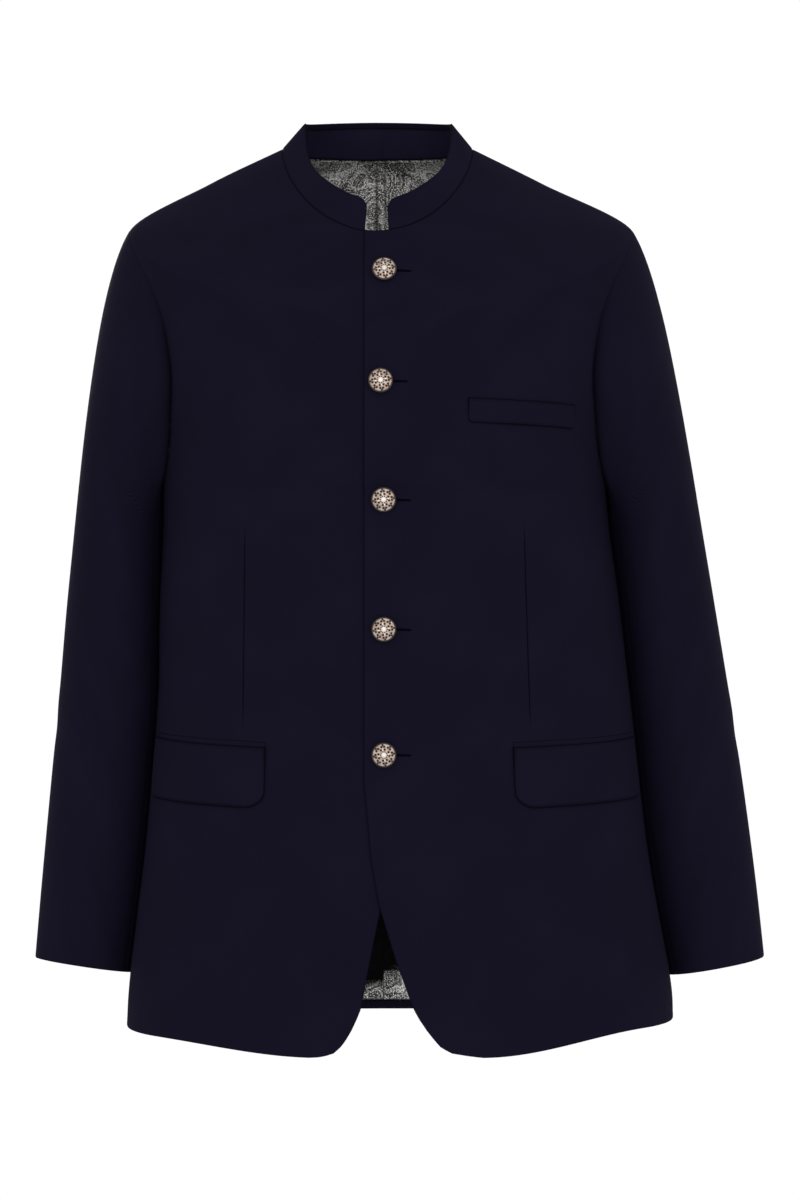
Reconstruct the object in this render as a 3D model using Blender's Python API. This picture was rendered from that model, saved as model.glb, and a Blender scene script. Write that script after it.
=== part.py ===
"""Bandhgala jacket, filled out as worn: fronts, backs, two-piece sleeves, stand collar, lining, pockets and buttons.

Metres in the scene, millimetres in the tables. +Z is up, the front faces -Y, and +X is the wearer's left. The origin
is the middle of the neckline, level with the two side neck points, where the wearer's shoulders carry the jacket.
"""

import math

import bmesh
import bpy
import numpy as np

MM = 0.001

# Walls and seams
CLOTH = 1.6            # wall of the fronts, backs and sleeves
LINING = 1.1           # wall of the lining and of the hem turn-up
COLLAR_WALL = 1.9      # outer stand, interlined
BAND_WALL = 1.1        # inner band of the stand
TRIM_WALL = 1.3        # pocket flaps and welt
SEAM = 0.35            # space between two pieces that are sewn together

# The body's surface: one row for each level, from the hem to the neckline. Heights are at the centre front, at the
# side and at the centre back of the level. The levels lie flat up to the arm, and slant from there to the neckline.
BODY_COLUMNS = ("z_front", "z_side", "z_back", "x_mid", "half_width", "y_front", "y_side", "y_back", "roundness")
BODY_LEVELS = {
    "hem":       (-768.3, -768.3, -764.8, 15, 237, -121, 0, 118, 2.30),
    "skirt":     (-717, -717, -717, 15, 234, -121, 0, 115, 2.30),
    "hip":       (-608, -608, -608, 12, 218, -120, 0, 106, 2.30),
    "low_waist": (-478, -478, -478, 10, 205, -117, 0, 92, 2.30),
    "waist":     (-391, -391, -391, 6, 199, -116, 0, 88, 2.30),
    "arm":       (-300, -300, -300, 2, 192, -119, 0, 99, 2.32),
    "chest":     (-225, -196, -205, 0, 197, -120, 3, 110, 2.26),
    "shoulder":  (-152, -69, -100, -1.5, 219, -109, 5, 102, 2.06),
    "yoke":      (-112, -29, -42, -5.5, 145, -98, 0, 89, 2.00),
    "neck":      (-82, 0, 6, -4.5, 82.5, -88, -8, 72, 2.05),
}
LEVEL = {name: float(i) for i, name in enumerate(BODY_LEVELS)}
DROP_POWER = 1.2       # how fast a slanting level falls from its side to its front
HEM_RISE_LEFT = 22.5   # the hem climbs this far from the centre to each side
HEM_RISE_RIGHT = 12.0
HEM_RISE_POWER = 2.0
HEM_RISE_TOP = 1.6     # level where the climb has faded out
SHOULDER_DROP = 44.0   # how much flatter the shoulder line leaves the arm's point than a smooth curve would

# Angles run round the body from the centre front, in degrees, to the wearer's left.
SIDE_SEAM = 100.0
SHOULDER_SEAM = 90.0

# The armhole: the angle from the centre front where the front panel ends, and from the centre back for the back one.
ARMHOLE_COLUMNS = ("level", "front_angle", "back_angle")
ARMHOLE = (
    (5.00, 100.0, 80.0),
    (5.06, 87.0, 76.0),
    (5.18, 76.0, 72.0),
    (5.45, 67.0, 68.0),
    (5.75, 62.5, 65.5),
    (6.10, 60.0, 64.0),
    (6.50, 59.0, 64.0),
    (6.75, 63.0, 67.0),
    (6.90, 71.0, 74.0),
    (6.97, 80.0, 82.0),
    (7.00, 90.0, 90.0),
)

# The front edges: height, and x of the left front that laps over and of the right front that lies under it.
EDGE_COLUMNS = ("z", "x_left", "x_right")
FRONT_EDGE = (
    (-768.3, 84.0, -54.0),
    (-767.6, 78.0, -45.0),
    (-764.9, 59.0, -38.0),
    (-759.7, 49.0, -33.0),
    (-754.2, 44.0, -29.5),
    (-745.3, 37.0, -24.8),
    (-735.8, 30.6, -20.4),
    (-728.0, 26.3, -17.3),
    (-695.0, 14.0, -11.0),
    (-670.0, 6.0, -6.0),
    (-642.0, -2.5, 0.0),
    (-605.0, -9.0, 8.0),
    (-572.0, -12.0, 14.0),
    (-540.0, -15.0, 18.0),
    (-60.0, -15.0, 18.0),
)
LAP_START = -36.0      # the under-lap sinks below the surface from here
LAP_END = -19.0        # and is fully under the left front from here
LAP_STEP = 5.0         # least width of a column beside the right front's edge

# Rows of the panels, as levels of the body
PANEL_ROWS = (
    0.0, 0.05, 0.14, 0.28, 0.5, 0.78, 1.05, 1.35, 1.65, 2.0, 2.6, 3.2, 3.8, 4.4, 5.0, 5.06, 5.18, 5.45, 5.75,
    6.1, 6.5, 6.75, 6.9, 6.97, 7.0, 7.35, 7.7, 8.1, 8.55, 9.0,
)
FRONT_COLUMNS = 11
BACK_COLUMNS = 9

# Sleeves: height at the outer and the inner side, x of the outer side, y of the middle and depth. The inner side is
# worked out so that the sleeve hangs just clear of the body.
SLEEVE_COLUMNS = ("z_outer", "z_inner", "x_outer", "y_mid", "depth")
SLEEVE_RIGHT = (
    (-330, -330, -270.0, 24, 140),
    (-400, -400, -277.7, 29, 136),
    (-480, -480, -285.0, 32, 129),
    (-560, -560, -293.0, 33, 118),
    (-640, -643, -300.3, 31, 107),
    (-702, -716, -305.5, 28, 99),
)
SLEEVE_LEFT = (
    (-330, -330, 279.6, 24, 140),
    (-400, -400, 292.0, 29, 136),
    (-480, -480, 305.6, 32, 129),
    (-560, -560, 318.0, 33, 118),
    (-640, -643, 328.4, 31, 107),
    (-702, -716, 335.0, 28, 99),
)
SLEEVE_CLEAR = 3.0     # space between the sleeve's inner side and the body
SLEEVE_ROUNDNESS = 2.25
SLEEVE_ROWS = 9        # rows below the sleeve head
HEAD_ROWS = (0.0, 0.12, 0.3, 0.52, 0.76)
FRONT_SLEEVE_SEAM = 5.18   # the sleeve's two seams meet the armhole at these levels, in front and behind
HIND_SLEEVE_SEAM = 5.75
HEAD_PULL = 0.57       # length of the sleeve head's first direction, as a share of its height

# Stand collar: half the width, depths and heights of its top edge, and where its two ends stop
COLLAR_TOP = (-55, 22.5, 36, -3.8, 63.5, -81, -8, 62, 2.05)
COLLAR_DIP = 92.0      # extra fall of the stand's top edge where it turns from the sides to the front
COLLAR_DIP_START = 1.2
COLLAR_DIP_FADE = 2.0
COLLAR_END_RIGHT = -12.0
COLLAR_END_LEFT = 4.0
COLLAR_CORNER = 9.0
COLLAR_SEAM = 0.7      # space between the neckline's edge and the stand's foot
COLLAR_COLUMNS = 36
COLLAR_ROWS = 4
BAND_TOP = 0.86        # the inner band ends below the collar's top edge
BAND_FOOT = 0.05

# Pockets, in x and z on the fronts: ends of the top edge, and how far the bottom edge lies below it
FLAP_COLUMNS = ("x_front", "x_back", "z_front", "z_back", "height", "corner")
FLAPS = {
    "flap_right": (-96.0, -193.5, -513.0, -508.0, 51.0, 14.0),
    "flap_left": (108.0, 214.5, -513.0, -508.0, 51.0, 14.0),
    "chest_welt": (71.0, 161.0, -224.0, -227.0, 20.5, 3.0),
}
TRIM_EASE = 0.5        # space between a front and what lies on it
FLAP_STEPS = 12
FLAP_ROWS = 4

# Buttons: heights down the front, their x, and the turned shape (radius, height above the cloth)
BUTTONS = {
    "button_1": (0.0, -117.0),
    "button_2": (-3.0, -210.0),
    "button_3": (0.0, -308.0),
    "button_4": (0.0, -415.0),
    "button_5": (0.0, -518.0),
}
BUTTON_PROFILE = ((2.3, 0.3), (2.3, 2.2), (8.6, 2.3), (10.15, 3.1), (10.0, 3.9), (6.4, 5.1), (2.6, 5.6))
BUTTON_SEGMENTS = 16

# Inside the back: the turn-up of the hem, and the lining above it
TURNUP_HEIGHT = 9.0
LINING_FOOT = 0.2      # level where the lining starts, just above the turn-up
LINING_HEAD = 8.93     # and where it ends, under the collar's inner band
LINING_EASE = 0.8      # the lining hangs this far inside the backs

COLOURS = {
    "cloth": ((0.010, 0.009, 0.020, 1.0), 0.0, 0.8),
    "lining": ((0.12, 0.12, 0.125, 1.0), 0.0, 0.55),
    "brass": ((0.55, 0.38, 0.31, 1.0), 1.0, 0.35),
}


def smooth(u):
    """0 to 1 with level ends."""
    u = min(max(u, 0.0), 1.0)
    return u * u * (3.0 - 2.0 * u)


def through(table, at):
    """A smooth curve through the rows of a table, at a row number that may be a fraction."""
    rows = np.asarray(table, dtype=float)
    i = int(min(max(math.floor(at), 0), len(rows) - 2))
    f = at - i
    p1, p2 = rows[i], rows[i + 1]
    d1 = (p2 - rows[i - 1]) / 2.0 if i > 0 else p2 - p1
    d2 = (rows[i + 2] - p1) / 2.0 if i + 2 < len(rows) else p2 - p1
    return (
        p1 * (1 - f) ** 2 * (1 + 2 * f) + d1 * f * (1 - f) ** 2 + p2 * f * f * (3 - 2 * f) - d2 * f * f * (1 - f)
    )


def on_ring(ring, angle):
    """Point of one level at an angle from the centre front."""
    z_front, z_side, z_back, x_mid, half, y_front, y_side, y_back, roundness = ring
    a = math.radians(angle)
    s, c = math.sin(a), math.cos(a)
    side = math.copysign(abs(s) ** (2.0 / roundness), s)
    ahead = abs(c) ** (2.0 / roundness)
    y_end, z_end = (y_front, z_front) if c > 0 else (y_back, z_back)
    return np.array([
        x_mid + half * side,
        y_side + (y_end - y_side) * ahead,
        z_side + (z_end - z_side) * abs(c) ** DROP_POWER,
    ])


def body(angle, level):
    """Point of the body's surface."""
    point = on_ring(through(list(BODY_LEVELS.values()), level), angle)
    s, c = math.sin(math.radians(angle)), math.cos(math.radians(angle))
    if level < HEM_RISE_TOP:
        rise = HEM_RISE_LEFT if s > 0 else HEM_RISE_RIGHT
        point[2] += rise * (1.0 - abs(c) ** HEM_RISE_POWER) * (1.0 - level / HEM_RISE_TOP) ** 2
    f = level - LEVEL["shoulder"]
    if 0.0 < f < 1.0:
        point[2] -= SHOULDER_DROP * f * (1.0 - f) ** 2 * abs(s) ** 3
    return point


def normal_of(surface, u, v, du=0.6, dv=0.02, v_min=0.0, v_max=9.0):
    """Outward normal of a surface at u, v by differences."""
    lo, hi = max(v - dv, v_min), min(v + dv, v_max)
    along = surface(u + du, v) - surface(u - du, v)
    up = surface(u, hi) - surface(u, lo)
    n = np.cross(along, up)
    return n / np.linalg.norm(n)


def body_out(angle, level, out):
    """Point of the body's surface moved out along its normal."""
    return body(angle, level) + normal_of(body, angle, level) * out


def angle_at_x(x, level):
    """Angle in the front half where the body's surface has this x."""
    ring = through(list(BODY_LEVELS.values()), level)
    u = (x - ring[3]) / ring[4]
    return math.degrees(math.asin(math.copysign(min(abs(u), 1.0) ** (ring[8] / 2.0), u)))


def level_at(angle_of, z):
    """Level where the front has this height, for an angle that depends on the level."""
    low, high = 0.0, LEVEL["neck"]
    for _ in range(30):
        mid = (low + high) / 2.0
        if body(angle_of(mid), mid)[2] < z:
            low = mid
        else:
            high = mid
    return mid


def place_on_front(x, z):
    """Angle and level of the front point with this x and z."""
    level = level_at(lambda at: angle_at_x(x, at), z)
    return angle_at_x(x, level), level


def front_edge_angle(level, column):
    """Angle of a front's free edge at a level."""
    heights = [row[0] for row in FRONT_EDGE]
    xs = [row[column] for row in FRONT_EDGE]
    angle = 0.0
    for _ in range(6):
        z = body(angle, level)[2]
        angle = angle_at_x(float(np.interp(z, heights, xs)), level)
    return angle


def armhole_angle(level, column):
    """Angle where a panel ends at a level, below, along or above the armhole."""
    if level <= LEVEL["arm"]:
        return SIDE_SEAM if column == 1 else 180.0 - SIDE_SEAM
    if level >= LEVEL["shoulder"]:
        return SHOULDER_SEAM
    return float(np.interp(level, [row[0] for row in ARMHOLE], [row[column] for row in ARMHOLE]))


def gap_angle(level, angle):
    """Half a seam's space at a point of the body, in degrees."""
    step = np.linalg.norm(body(angle + 0.5, level) - body(angle - 0.5, level))
    return SEAM / 2.0 / step


def solid(name, outer, inner, closed=False, finish="cloth"):
    """A closed wall between two grids of points: rows of columns. A closed one joins its last column to its first."""
    outer, inner = np.asarray(outer), np.asarray(inner)
    rows, cols = outer.shape[:2]
    points = np.concatenate([outer.reshape(-1, 3), inner.reshape(-1, 3)]) * MM
    far = rows * cols
    faces = []
    spans = cols if closed else cols - 1
    for r in range(rows - 1):
        for c in range(spans):
            a, b = r * cols + c, r * cols + (c + 1) % cols
            faces.append((a, b, b + cols, a + cols))
            faces.append((far + a + cols, far + b + cols, far + b, far + a))
    for c in range(spans):
        a, b = c, (c + 1) % cols
        faces.append((far + a, far + b, b, a))
        top_a, top_b = a + (rows - 1) * cols, b + (rows - 1) * cols
        faces.append((top_a, top_b, far + top_b, far + top_a))
    if not closed:
        for r in range(rows - 1):
            a, b = r * cols, (r + 1) * cols
            faces.append((a, b, far + b, far + a))
            a, b = a + cols - 1, b + cols - 1
            faces.append((far + a, far + b, b, a))
    return add_object(name, points, faces, finish)


def add_object(name, points, faces, finish):
    """A named object of points and faces, turned outwards, with its own material."""
    mesh = bpy.data.meshes.new(name)
    mesh.from_pydata([tuple(p) for p in points], [], faces)
    bm = bmesh.new()
    bm.from_mesh(mesh)
    bmesh.ops.triangulate(bm, faces=bm.faces[:])
    if bm.calc_volume(signed=True) < 0:
        bmesh.ops.reverse_faces(bm, faces=bm.faces[:])
    bm.to_mesh(mesh)
    bm.free()
    obj = bpy.data.objects.new(name, mesh)
    bpy.context.scene.collection.objects.link(obj)
    colour, metallic, roughness = COLOURS[finish]
    material = bpy.data.materials.new(name)
    material.use_nodes = True
    shader = material.node_tree.nodes["Principled BSDF"]
    shader.inputs["Base Color"].default_value = colour
    shader.inputs["Metallic"].default_value = metallic
    shader.inputs["Roughness"].default_value = roughness
    mesh.materials.append(material)
    return obj


def lap(x):
    """How far the right front lies below the body's surface at x, where it goes under the left front."""
    return (CLOTH + SEAM) * smooth((x - LAP_START) / (LAP_END - LAP_START))


def front_panel(name, side):
    """One front, from its free edge to the side seam and the armhole. side is 1 for the left, -1 for the right."""
    column = 1 if side > 0 else 2
    outer, inner = [], []
    for level in PANEL_ROWS:
        start = front_edge_angle(level, column)
        end = side * armhole_angle(level, 1)
        end -= side * gap_angle(level, end)
        angles = list(np.linspace(start, end, FRONT_COLUMNS + 1))
        if side < 0:
            second = min(LAP_END, body(start, level)[0] - LAP_STEP)
            third = angle_at_x(min(LAP_START, second - LAP_STEP), level)
            second = angle_at_x(second, level)
            angles = [start, (start + second) / 2.0, second] + list(np.linspace(third, end, FRONT_COLUMNS - 2))
        row_out, row_in = [], []
        for angle in angles:
            sunk = lap(body(angle, level)[0]) if side < 0 else 0.0
            row_out.append(body_out(angle, level, -sunk))
            row_in.append(body_out(angle, level, -sunk - CLOTH))
        outer.append(row_out)
        inner.append(row_in)
    return solid(name, outer, inner)


def back_angle(side, level, share):
    """Angle on a back panel, from 0 at its centre seam to 1 at its side seam or armhole."""
    start = 180.0 - gap_angle(level, 180.0)
    end = 180.0 - armhole_angle(level, 2)
    end += gap_angle(level, end)
    return side * (start + (end - start) * share)


def back_panel(name, side):
    """One back, from the centre seam to the side seam and the armhole."""
    outer, inner = [], []
    for level in PANEL_ROWS:
        angles = [back_angle(side, level, share) for share in np.linspace(0.0, 1.0, BACK_COLUMNS + 1)]
        outer.append([body_out(angle, level, 0.0) for angle in angles])
        inner.append([body_out(angle, level, -CLOTH) for angle in angles])
    return solid(name, outer, inner)


class Sleeve:
    """A set-in sleeve, from the armhole's seam to the cuff."""

    def __init__(self, side):
        """Works out the armhole's loop. side is 1 for the left arm."""
        self.side = side
        self.table = [
            (z_outer, z_inner, x_outer, self.inner_side(z_inner, x_outer, y_mid, depth), y_mid, depth)
            for z_outer, z_inner, x_outer, y_mid, depth in (SLEEVE_LEFT if side > 0 else SLEEVE_RIGHT)
        ]
        self.loops = {}
        for half, column in (("front", 1), ("back", 2)):
            line = []
            for level in self.rows_down():
                angle = armhole_angle(level, column)
                angle = angle if half == "front" else 180.0 - angle
                line.append(self.start_point(side * angle, level, half))
            points = np.array([p for p, _, _ in line])
            steps = np.linalg.norm(np.diff(points, axis=0), axis=1)
            self.loops[half] = (np.concatenate([[0.0], np.cumsum(steps)]) / steps.sum(), line)
        front = {row: 180.0 * share for row, share in zip(self.rows_down(), self.loops["front"][0])}
        back = {row: 360.0 - 180.0 * share for row, share in zip(self.rows_down(), self.loops["back"][0])}
        self.front_seam, self.hind_seam = front[FRONT_SLEEVE_SEAM], back[HIND_SLEEVE_SEAM]
        self.turns = sorted({round(turn, 4) % 360.0 for turn in [*front.values(), *back.values()]})

    def inner_side(self, z, x_outer, y_mid, depth):
        """x of a ring's inner side, so that the whole ring stays clear of the body at that height."""
        level = level_at(lambda at: 90.0, z)
        _, _, _, x_mid, half, _, _, y_back, roundness = through(list(BODY_LEVELS.values()), level)
        y_front = through(list(BODY_LEVELS.values()), level)[5]
        inner = x_mid + self.side * half
        for _ in range(4):
            width = abs(x_outer - inner) / 2.0
            reach = 0.0
            for y in np.linspace(y_mid - depth / 2.0 + 1.0, y_mid + depth / 2.0 - 1.0, 25):
                body_share = min(abs(y / (y_back if y > 0 else y_front)), 1.0)
                body_x = half * (1.0 - body_share ** roundness) ** (1.0 / roundness)
                ring_share = abs(y - y_mid) / (depth / 2.0)
                recede = width * (1.0 - (1.0 - ring_share ** SLEEVE_ROUNDNESS) ** (1.0 / SLEEVE_ROUNDNESS))
                reach = max(reach, body_x - recede)
            inner = x_mid + self.side * (reach + SLEEVE_CLEAR)
        return inner

    @staticmethod
    def rows_down():
        """The panels' levels along the armhole, from the shoulder down."""
        return [row for row in reversed(PANEL_ROWS) if LEVEL["arm"] <= row <= LEVEL["shoulder"]]

    def start_point(self, angle, level, half):
        """Seam point, the body's normal there, and the direction away from the panel in its surface."""
        point = body(angle, level)
        normal = normal_of(body, angle, level)
        column = 1 if half == "front" else 2
        turn = 1.0 if half == "front" else -1.0
        near = []
        for step in (-0.03, 0.03):
            other = min(max(level + step, LEVEL["arm"]), LEVEL["shoulder"])
            other_angle = armhole_angle(other, column)
            other_angle = other_angle if half == "front" else 180.0 - other_angle
            near.append(body(self.side * other_angle, other))
        along = near[1] - near[0]
        away = np.cross(along, normal) * self.side * turn
        return point, normal, away / np.linalg.norm(away)

    def seam(self, turn):
        """Seam data at an angle round the sleeve: 0 at the shoulder, 180 under the arm, front first."""
        turn %= 360.0
        half, share = ("front", turn / 180.0) if turn <= 180.0 else ("back", (360.0 - turn) / 180.0)
        shares, line = self.loops[half]
        i = int(min(np.searchsorted(shares, share, side="right") - 1, len(line) - 2))
        f = (share - shares[i]) / (shares[i + 1] - shares[i])
        return [line[i][k] * (1 - f) + line[i + 1][k] * f for k in range(3)]

    def ring(self, turn, at):
        """Point of the sleeve below its head, at a row number of the table."""
        z_outer, z_inner, x_outer, x_inner, y_mid, depth = through(self.table, at)
        a = math.radians(turn)
        across = math.copysign(abs(math.cos(a)) ** (2.0 / SLEEVE_ROUNDNESS), math.cos(a))
        ahead = math.copysign(abs(math.sin(a)) ** (2.0 / SLEEVE_ROUNDNESS), math.sin(a))
        x = (x_outer + x_inner) / 2.0 + (x_outer - x_inner) / 2.0 * across
        z = (z_outer + z_inner) / 2.0 + (z_outer - z_inner) / 2.0 * across
        return np.array([x, y_mid - depth / 2.0 * ahead, z])

    def point(self, turn, v):
        """Surface point. v runs from 0 at the armhole to 1 below the head, then by rows of the table to the cuff."""
        if v >= 1.0:
            return self.ring(turn, v - 1.0)
        seam_point, normal, away = self.seam(turn)
        start = seam_point + (normal + away) * SEAM
        end = self.ring(turn, 0.0)
        a = math.radians(turn)
        top, under, beside = max(math.cos(a), 0.0) ** 2, max(-math.cos(a), 0.0) ** 2, math.sin(a) ** 2
        heading = (
            top * np.array([0.55 * self.side, 0.0, -0.84])
            + beside * np.array([0.85 * self.side, -0.1 * math.sin(a), -0.5])
            + under * np.array([1.0 * self.side, 0.0, -0.3])
        )
        reach = np.linalg.norm(end - start)
        first = heading / np.linalg.norm(heading) * reach * HEAD_PULL
        last = (self.ring(turn, 0.02) - end)
        last = last / np.linalg.norm(last) * reach
        h = v * v * (3 - 2 * v)
        return start * (1 - h) + end * h + first * v * (1 - v) ** 2 - last * v * v * (1 - v)

    def inward(self, turn, v):
        """Direction into the sleeve's hollow."""
        du = 1.0
        lo, hi = max(v - 0.02, 0.0), min(v + 0.02, len(self.table))
        along = self.point(turn + du, v) - self.point(turn - du, v)
        down = self.point(turn, hi) - self.point(turn, lo)
        n = np.cross(down, along) * self.side
        n /= np.linalg.norm(n)
        if v == 0.0:
            _, normal, away = self.seam(turn)
            back = float(n @ away)
            if back < 0.0:
                n = n - away * back
                n /= np.linalg.norm(n)
        return n

    def piece(self, name, start, end):
        """One of the sleeve's two pieces, between two angles."""
        inside = [turn + lead for turn in self.turns for lead in (-360.0, 0.0) if start < turn + lead < end]
        inside = [turn for turn in sorted(inside) if turn - start > 1.0 and end - turn > 1.0]
        rows = list(HEAD_ROWS) + list(1.0 + np.linspace(0.0, len(self.table) - 1.0, SLEEVE_ROWS + 1))
        outer, inner = [], []
        for v in rows:
            length = np.linalg.norm(self.point(start + 0.5, v) - self.point(start - 0.5, v))
            gap = SEAM / 2.0 / length
            row_out, row_in = [], []
            for turn in [start + gap] + inside + [end - gap]:
                p = self.point(turn, v)
                row_out.append(p)
                row_in.append(p + self.inward(turn, v) * CLOTH)
            outer.append(row_out)
            inner.append(row_in)
        return solid(name, outer, inner)


def collar_surface(angle, share):
    """Outer face of the stand: 0 at the neckline, 1 at its top edge."""
    foot = body(angle, LEVEL["neck"])
    normal = normal_of(body, angle, LEVEL["neck"])
    away = foot - body(angle, LEVEL["neck"] - 0.05)
    foot = foot + normal * SEAM + away / np.linalg.norm(away) * COLLAR_SEAM
    top = on_ring(COLLAR_TOP, angle)
    ahead = max(math.cos(math.radians(angle)), 0.0)
    top[2] -= COLLAR_DIP * ahead ** COLLAR_DIP_START * (1.0 - ahead) ** COLLAR_DIP_FADE
    return foot * (1 - share) + top * share


def collar_piece(name, sunk, wall, foot, top):
    """A band of the stand collar, open at the throat, with rounded top corners."""
    x_mid, half, roundness = COLLAR_TOP[3], COLLAR_TOP[4], COLLAR_TOP[8]
    ends = []
    for x in (COLLAR_END_LEFT, COLLAR_END_RIGHT):
        u = (x - x_mid) / half
        ends.append(math.degrees(math.asin(math.copysign(abs(u) ** (roundness / 2.0), u))))
    start, end = ends[0], ends[1] + 360.0
    shares = np.linspace(0.0, 1.0, COLLAR_COLUMNS + 1)
    shares = np.insert(shares, [1, len(shares) - 1], [0.008, 0.992])
    length = (end - start) / 360.0 * math.tau * (half + abs(COLLAR_TOP[5])) / 2.0
    outer, inner = [], []
    for k in range(COLLAR_ROWS + 1):
        row_out, row_in = [], []
        for share in shares:
            angle = start + (end - start) * share
            near_end = min(share, 1.0 - share) * length
            tall = np.linalg.norm(collar_surface(angle, 1.0) - collar_surface(angle, 0.0))
            cut = 0.0
            if near_end < COLLAR_CORNER:
                cut = COLLAR_CORNER - math.sqrt(COLLAR_CORNER ** 2 - (COLLAR_CORNER - near_end) ** 2)
            level = foot + (top - cut / tall - foot) * k / COLLAR_ROWS
            p = collar_surface(angle, level)
            n = normal_of(collar_surface, angle, level, du=0.6, dv=0.05, v_min=-0.1, v_max=1.1)
            row_out.append(p - n * sunk)
            row_in.append(p - n * (sunk + wall))
        outer.append(row_out)
        inner.append(row_in)
    return solid(name, outer, inner)


def trim_piece(name, x_front, x_back, z_front, z_back, height, corner):
    """A flap or welt: the front's own points moved out, with its two lower corners rounded."""
    first, first_level = place_on_front(x_front, z_front)
    last, last_level = place_on_front(x_back, z_back)
    length = sum(
        np.linalg.norm(body(first + (last - first) * (k + 1) / 12, first_level)
                       - body(first + (last - first) * k / 12, first_level))
        for k in range(12)
    )
    outer, inner = [], []
    for k in range(FLAP_ROWS + 1):
        row_out, row_in = [], []
        for share in np.linspace(0.0, 1.0, FLAP_STEPS + 1):
            near_end = min(share, 1.0 - share) * length
            cut = 0.0
            if near_end < corner:
                cut = corner - math.sqrt(corner ** 2 - (corner - near_end) ** 2)
            z = z_front + (z_back - z_front) * share - (height - cut) * k / FLAP_ROWS
            angle = first + (last - first) * share
            level = level_at(lambda at: angle, z)
            row_out.append(body_out(angle, level, TRIM_EASE + TRIM_WALL))
            row_in.append(body_out(angle, level, TRIM_EASE))
        outer.append(row_out)
        inner.append(row_in)
    return solid(name, outer, inner)


def button(name, x, z):
    """A turned shank button that stands on the left front."""
    angle, level = place_on_front(x, z)
    foot = body(angle, level)
    out = normal_of(body, angle, level)
    side = np.cross([0.0, 0.0, 1.0], out)
    side /= np.linalg.norm(side)
    up = np.cross(out, side)
    points, faces = [], []
    for radius, high in BUTTON_PROFILE:
        for i in range(BUTTON_SEGMENTS):
            a = math.tau * i / BUTTON_SEGMENTS
            points.append(foot + out * high + (side * math.cos(a) + up * math.sin(a)) * radius)
    for r in range(len(BUTTON_PROFILE) - 1):
        for i in range(BUTTON_SEGMENTS):
            a, b = r * BUTTON_SEGMENTS + i, r * BUTTON_SEGMENTS + (i + 1) % BUTTON_SEGMENTS
            faces.append((a, b, b + BUTTON_SEGMENTS, a + BUTTON_SEGMENTS))
    last = (len(BUTTON_PROFILE) - 1) * BUTTON_SEGMENTS
    faces.append(tuple(reversed(range(BUTTON_SEGMENTS))))
    faces.append(tuple(range(last, last + BUTTON_SEGMENTS)))
    return add_object(name, np.array(points) * MM, faces, "brass")


def inside_back(name, levels, ease, finish):
    """A piece that lies inside both backs, on their own columns."""
    outer, inner = [], []
    shares = np.linspace(0.0, 1.0, BACK_COLUMNS + 1)[1:]
    for level in levels:
        left = [back_angle(1, level, share) for share in reversed(shares)]
        right = [back_angle(-1, level, share) for share in shares]
        angles = left + [180.0] + right
        outer.append([body_out(angle, level, -CLOTH - ease) for angle in angles])
        inner.append([body_out(angle, level, -CLOTH - ease - LINING) for angle in angles])
    return solid(name, outer, inner, finish=finish)


def main():
    """Removes what the scene holds and builds each piece of the jacket."""
    for old in list(bpy.data.objects):
        bpy.data.objects.remove(old)
    for side, word in ((1, "left"), (-1, "right")):
        front_panel("front_" + word, side)
        back_panel("back_" + word, side)
        sleeve = Sleeve(side)
        sleeve.piece("sleeve_upper_" + word, sleeve.hind_seam - 360.0, sleeve.front_seam)
        sleeve.piece("sleeve_under_" + word, sleeve.front_seam, sleeve.hind_seam)
    collar_piece("collar_outer", 0.0, COLLAR_WALL, 0.0, 1.0)
    collar_piece("collar_inner", COLLAR_WALL + SEAM, BAND_WALL, BAND_FOOT, BAND_TOP)
    for name, sizes in FLAPS.items():
        trim_piece(name, *sizes)
    for name, (x, z) in BUTTONS.items():
        button(name, x, z)
    turned = TURNUP_HEIGHT / (BODY_LEVELS["skirt"][0] - BODY_LEVELS["hem"][0])
    inside_back("hem_turnup", (0.0, turned / 2.0, turned), LINING_EASE, "cloth")
    levels = [LINING_FOOT] + [level for level in PANEL_ROWS if LINING_FOOT < level < LINING_HEAD] + [LINING_HEAD]
    inside_back("lining_back", levels, LINING_EASE, "lining")


main()
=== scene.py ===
"""Looks of a bandhgala jacket: worsted panels, figured lining, stand collar, pockets and pierced shank buttons.

Tables are in millimetres, as a pattern cutter would write them, and every mesh is made in metres. The front faces -Y,
+X is the wearer's left, and the origin is the middle of the neckline between the two side neck points.
"""

import logging
import math
from collections.abc import Callable
from dataclasses import dataclass, field
from enum import Enum

import bmesh
import bpy
import numpy as np
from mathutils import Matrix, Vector


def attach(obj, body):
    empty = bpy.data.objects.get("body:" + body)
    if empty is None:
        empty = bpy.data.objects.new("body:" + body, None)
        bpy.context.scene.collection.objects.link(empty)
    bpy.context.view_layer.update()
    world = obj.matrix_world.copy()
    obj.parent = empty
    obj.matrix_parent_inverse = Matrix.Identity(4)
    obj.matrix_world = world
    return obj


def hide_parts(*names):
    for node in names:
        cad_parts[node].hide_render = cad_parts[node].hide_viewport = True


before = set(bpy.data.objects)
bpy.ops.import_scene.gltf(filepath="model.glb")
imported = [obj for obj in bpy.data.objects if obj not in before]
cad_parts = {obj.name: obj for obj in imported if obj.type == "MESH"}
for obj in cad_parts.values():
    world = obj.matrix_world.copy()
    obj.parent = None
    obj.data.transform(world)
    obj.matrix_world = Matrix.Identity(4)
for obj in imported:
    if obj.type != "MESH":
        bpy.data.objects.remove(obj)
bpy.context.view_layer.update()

LOG = logging.getLogger("bandhgala")
MM = 0.001
LEAST_SHARE = 0.31      # least share of its own rectangle that a cut may fill


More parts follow.
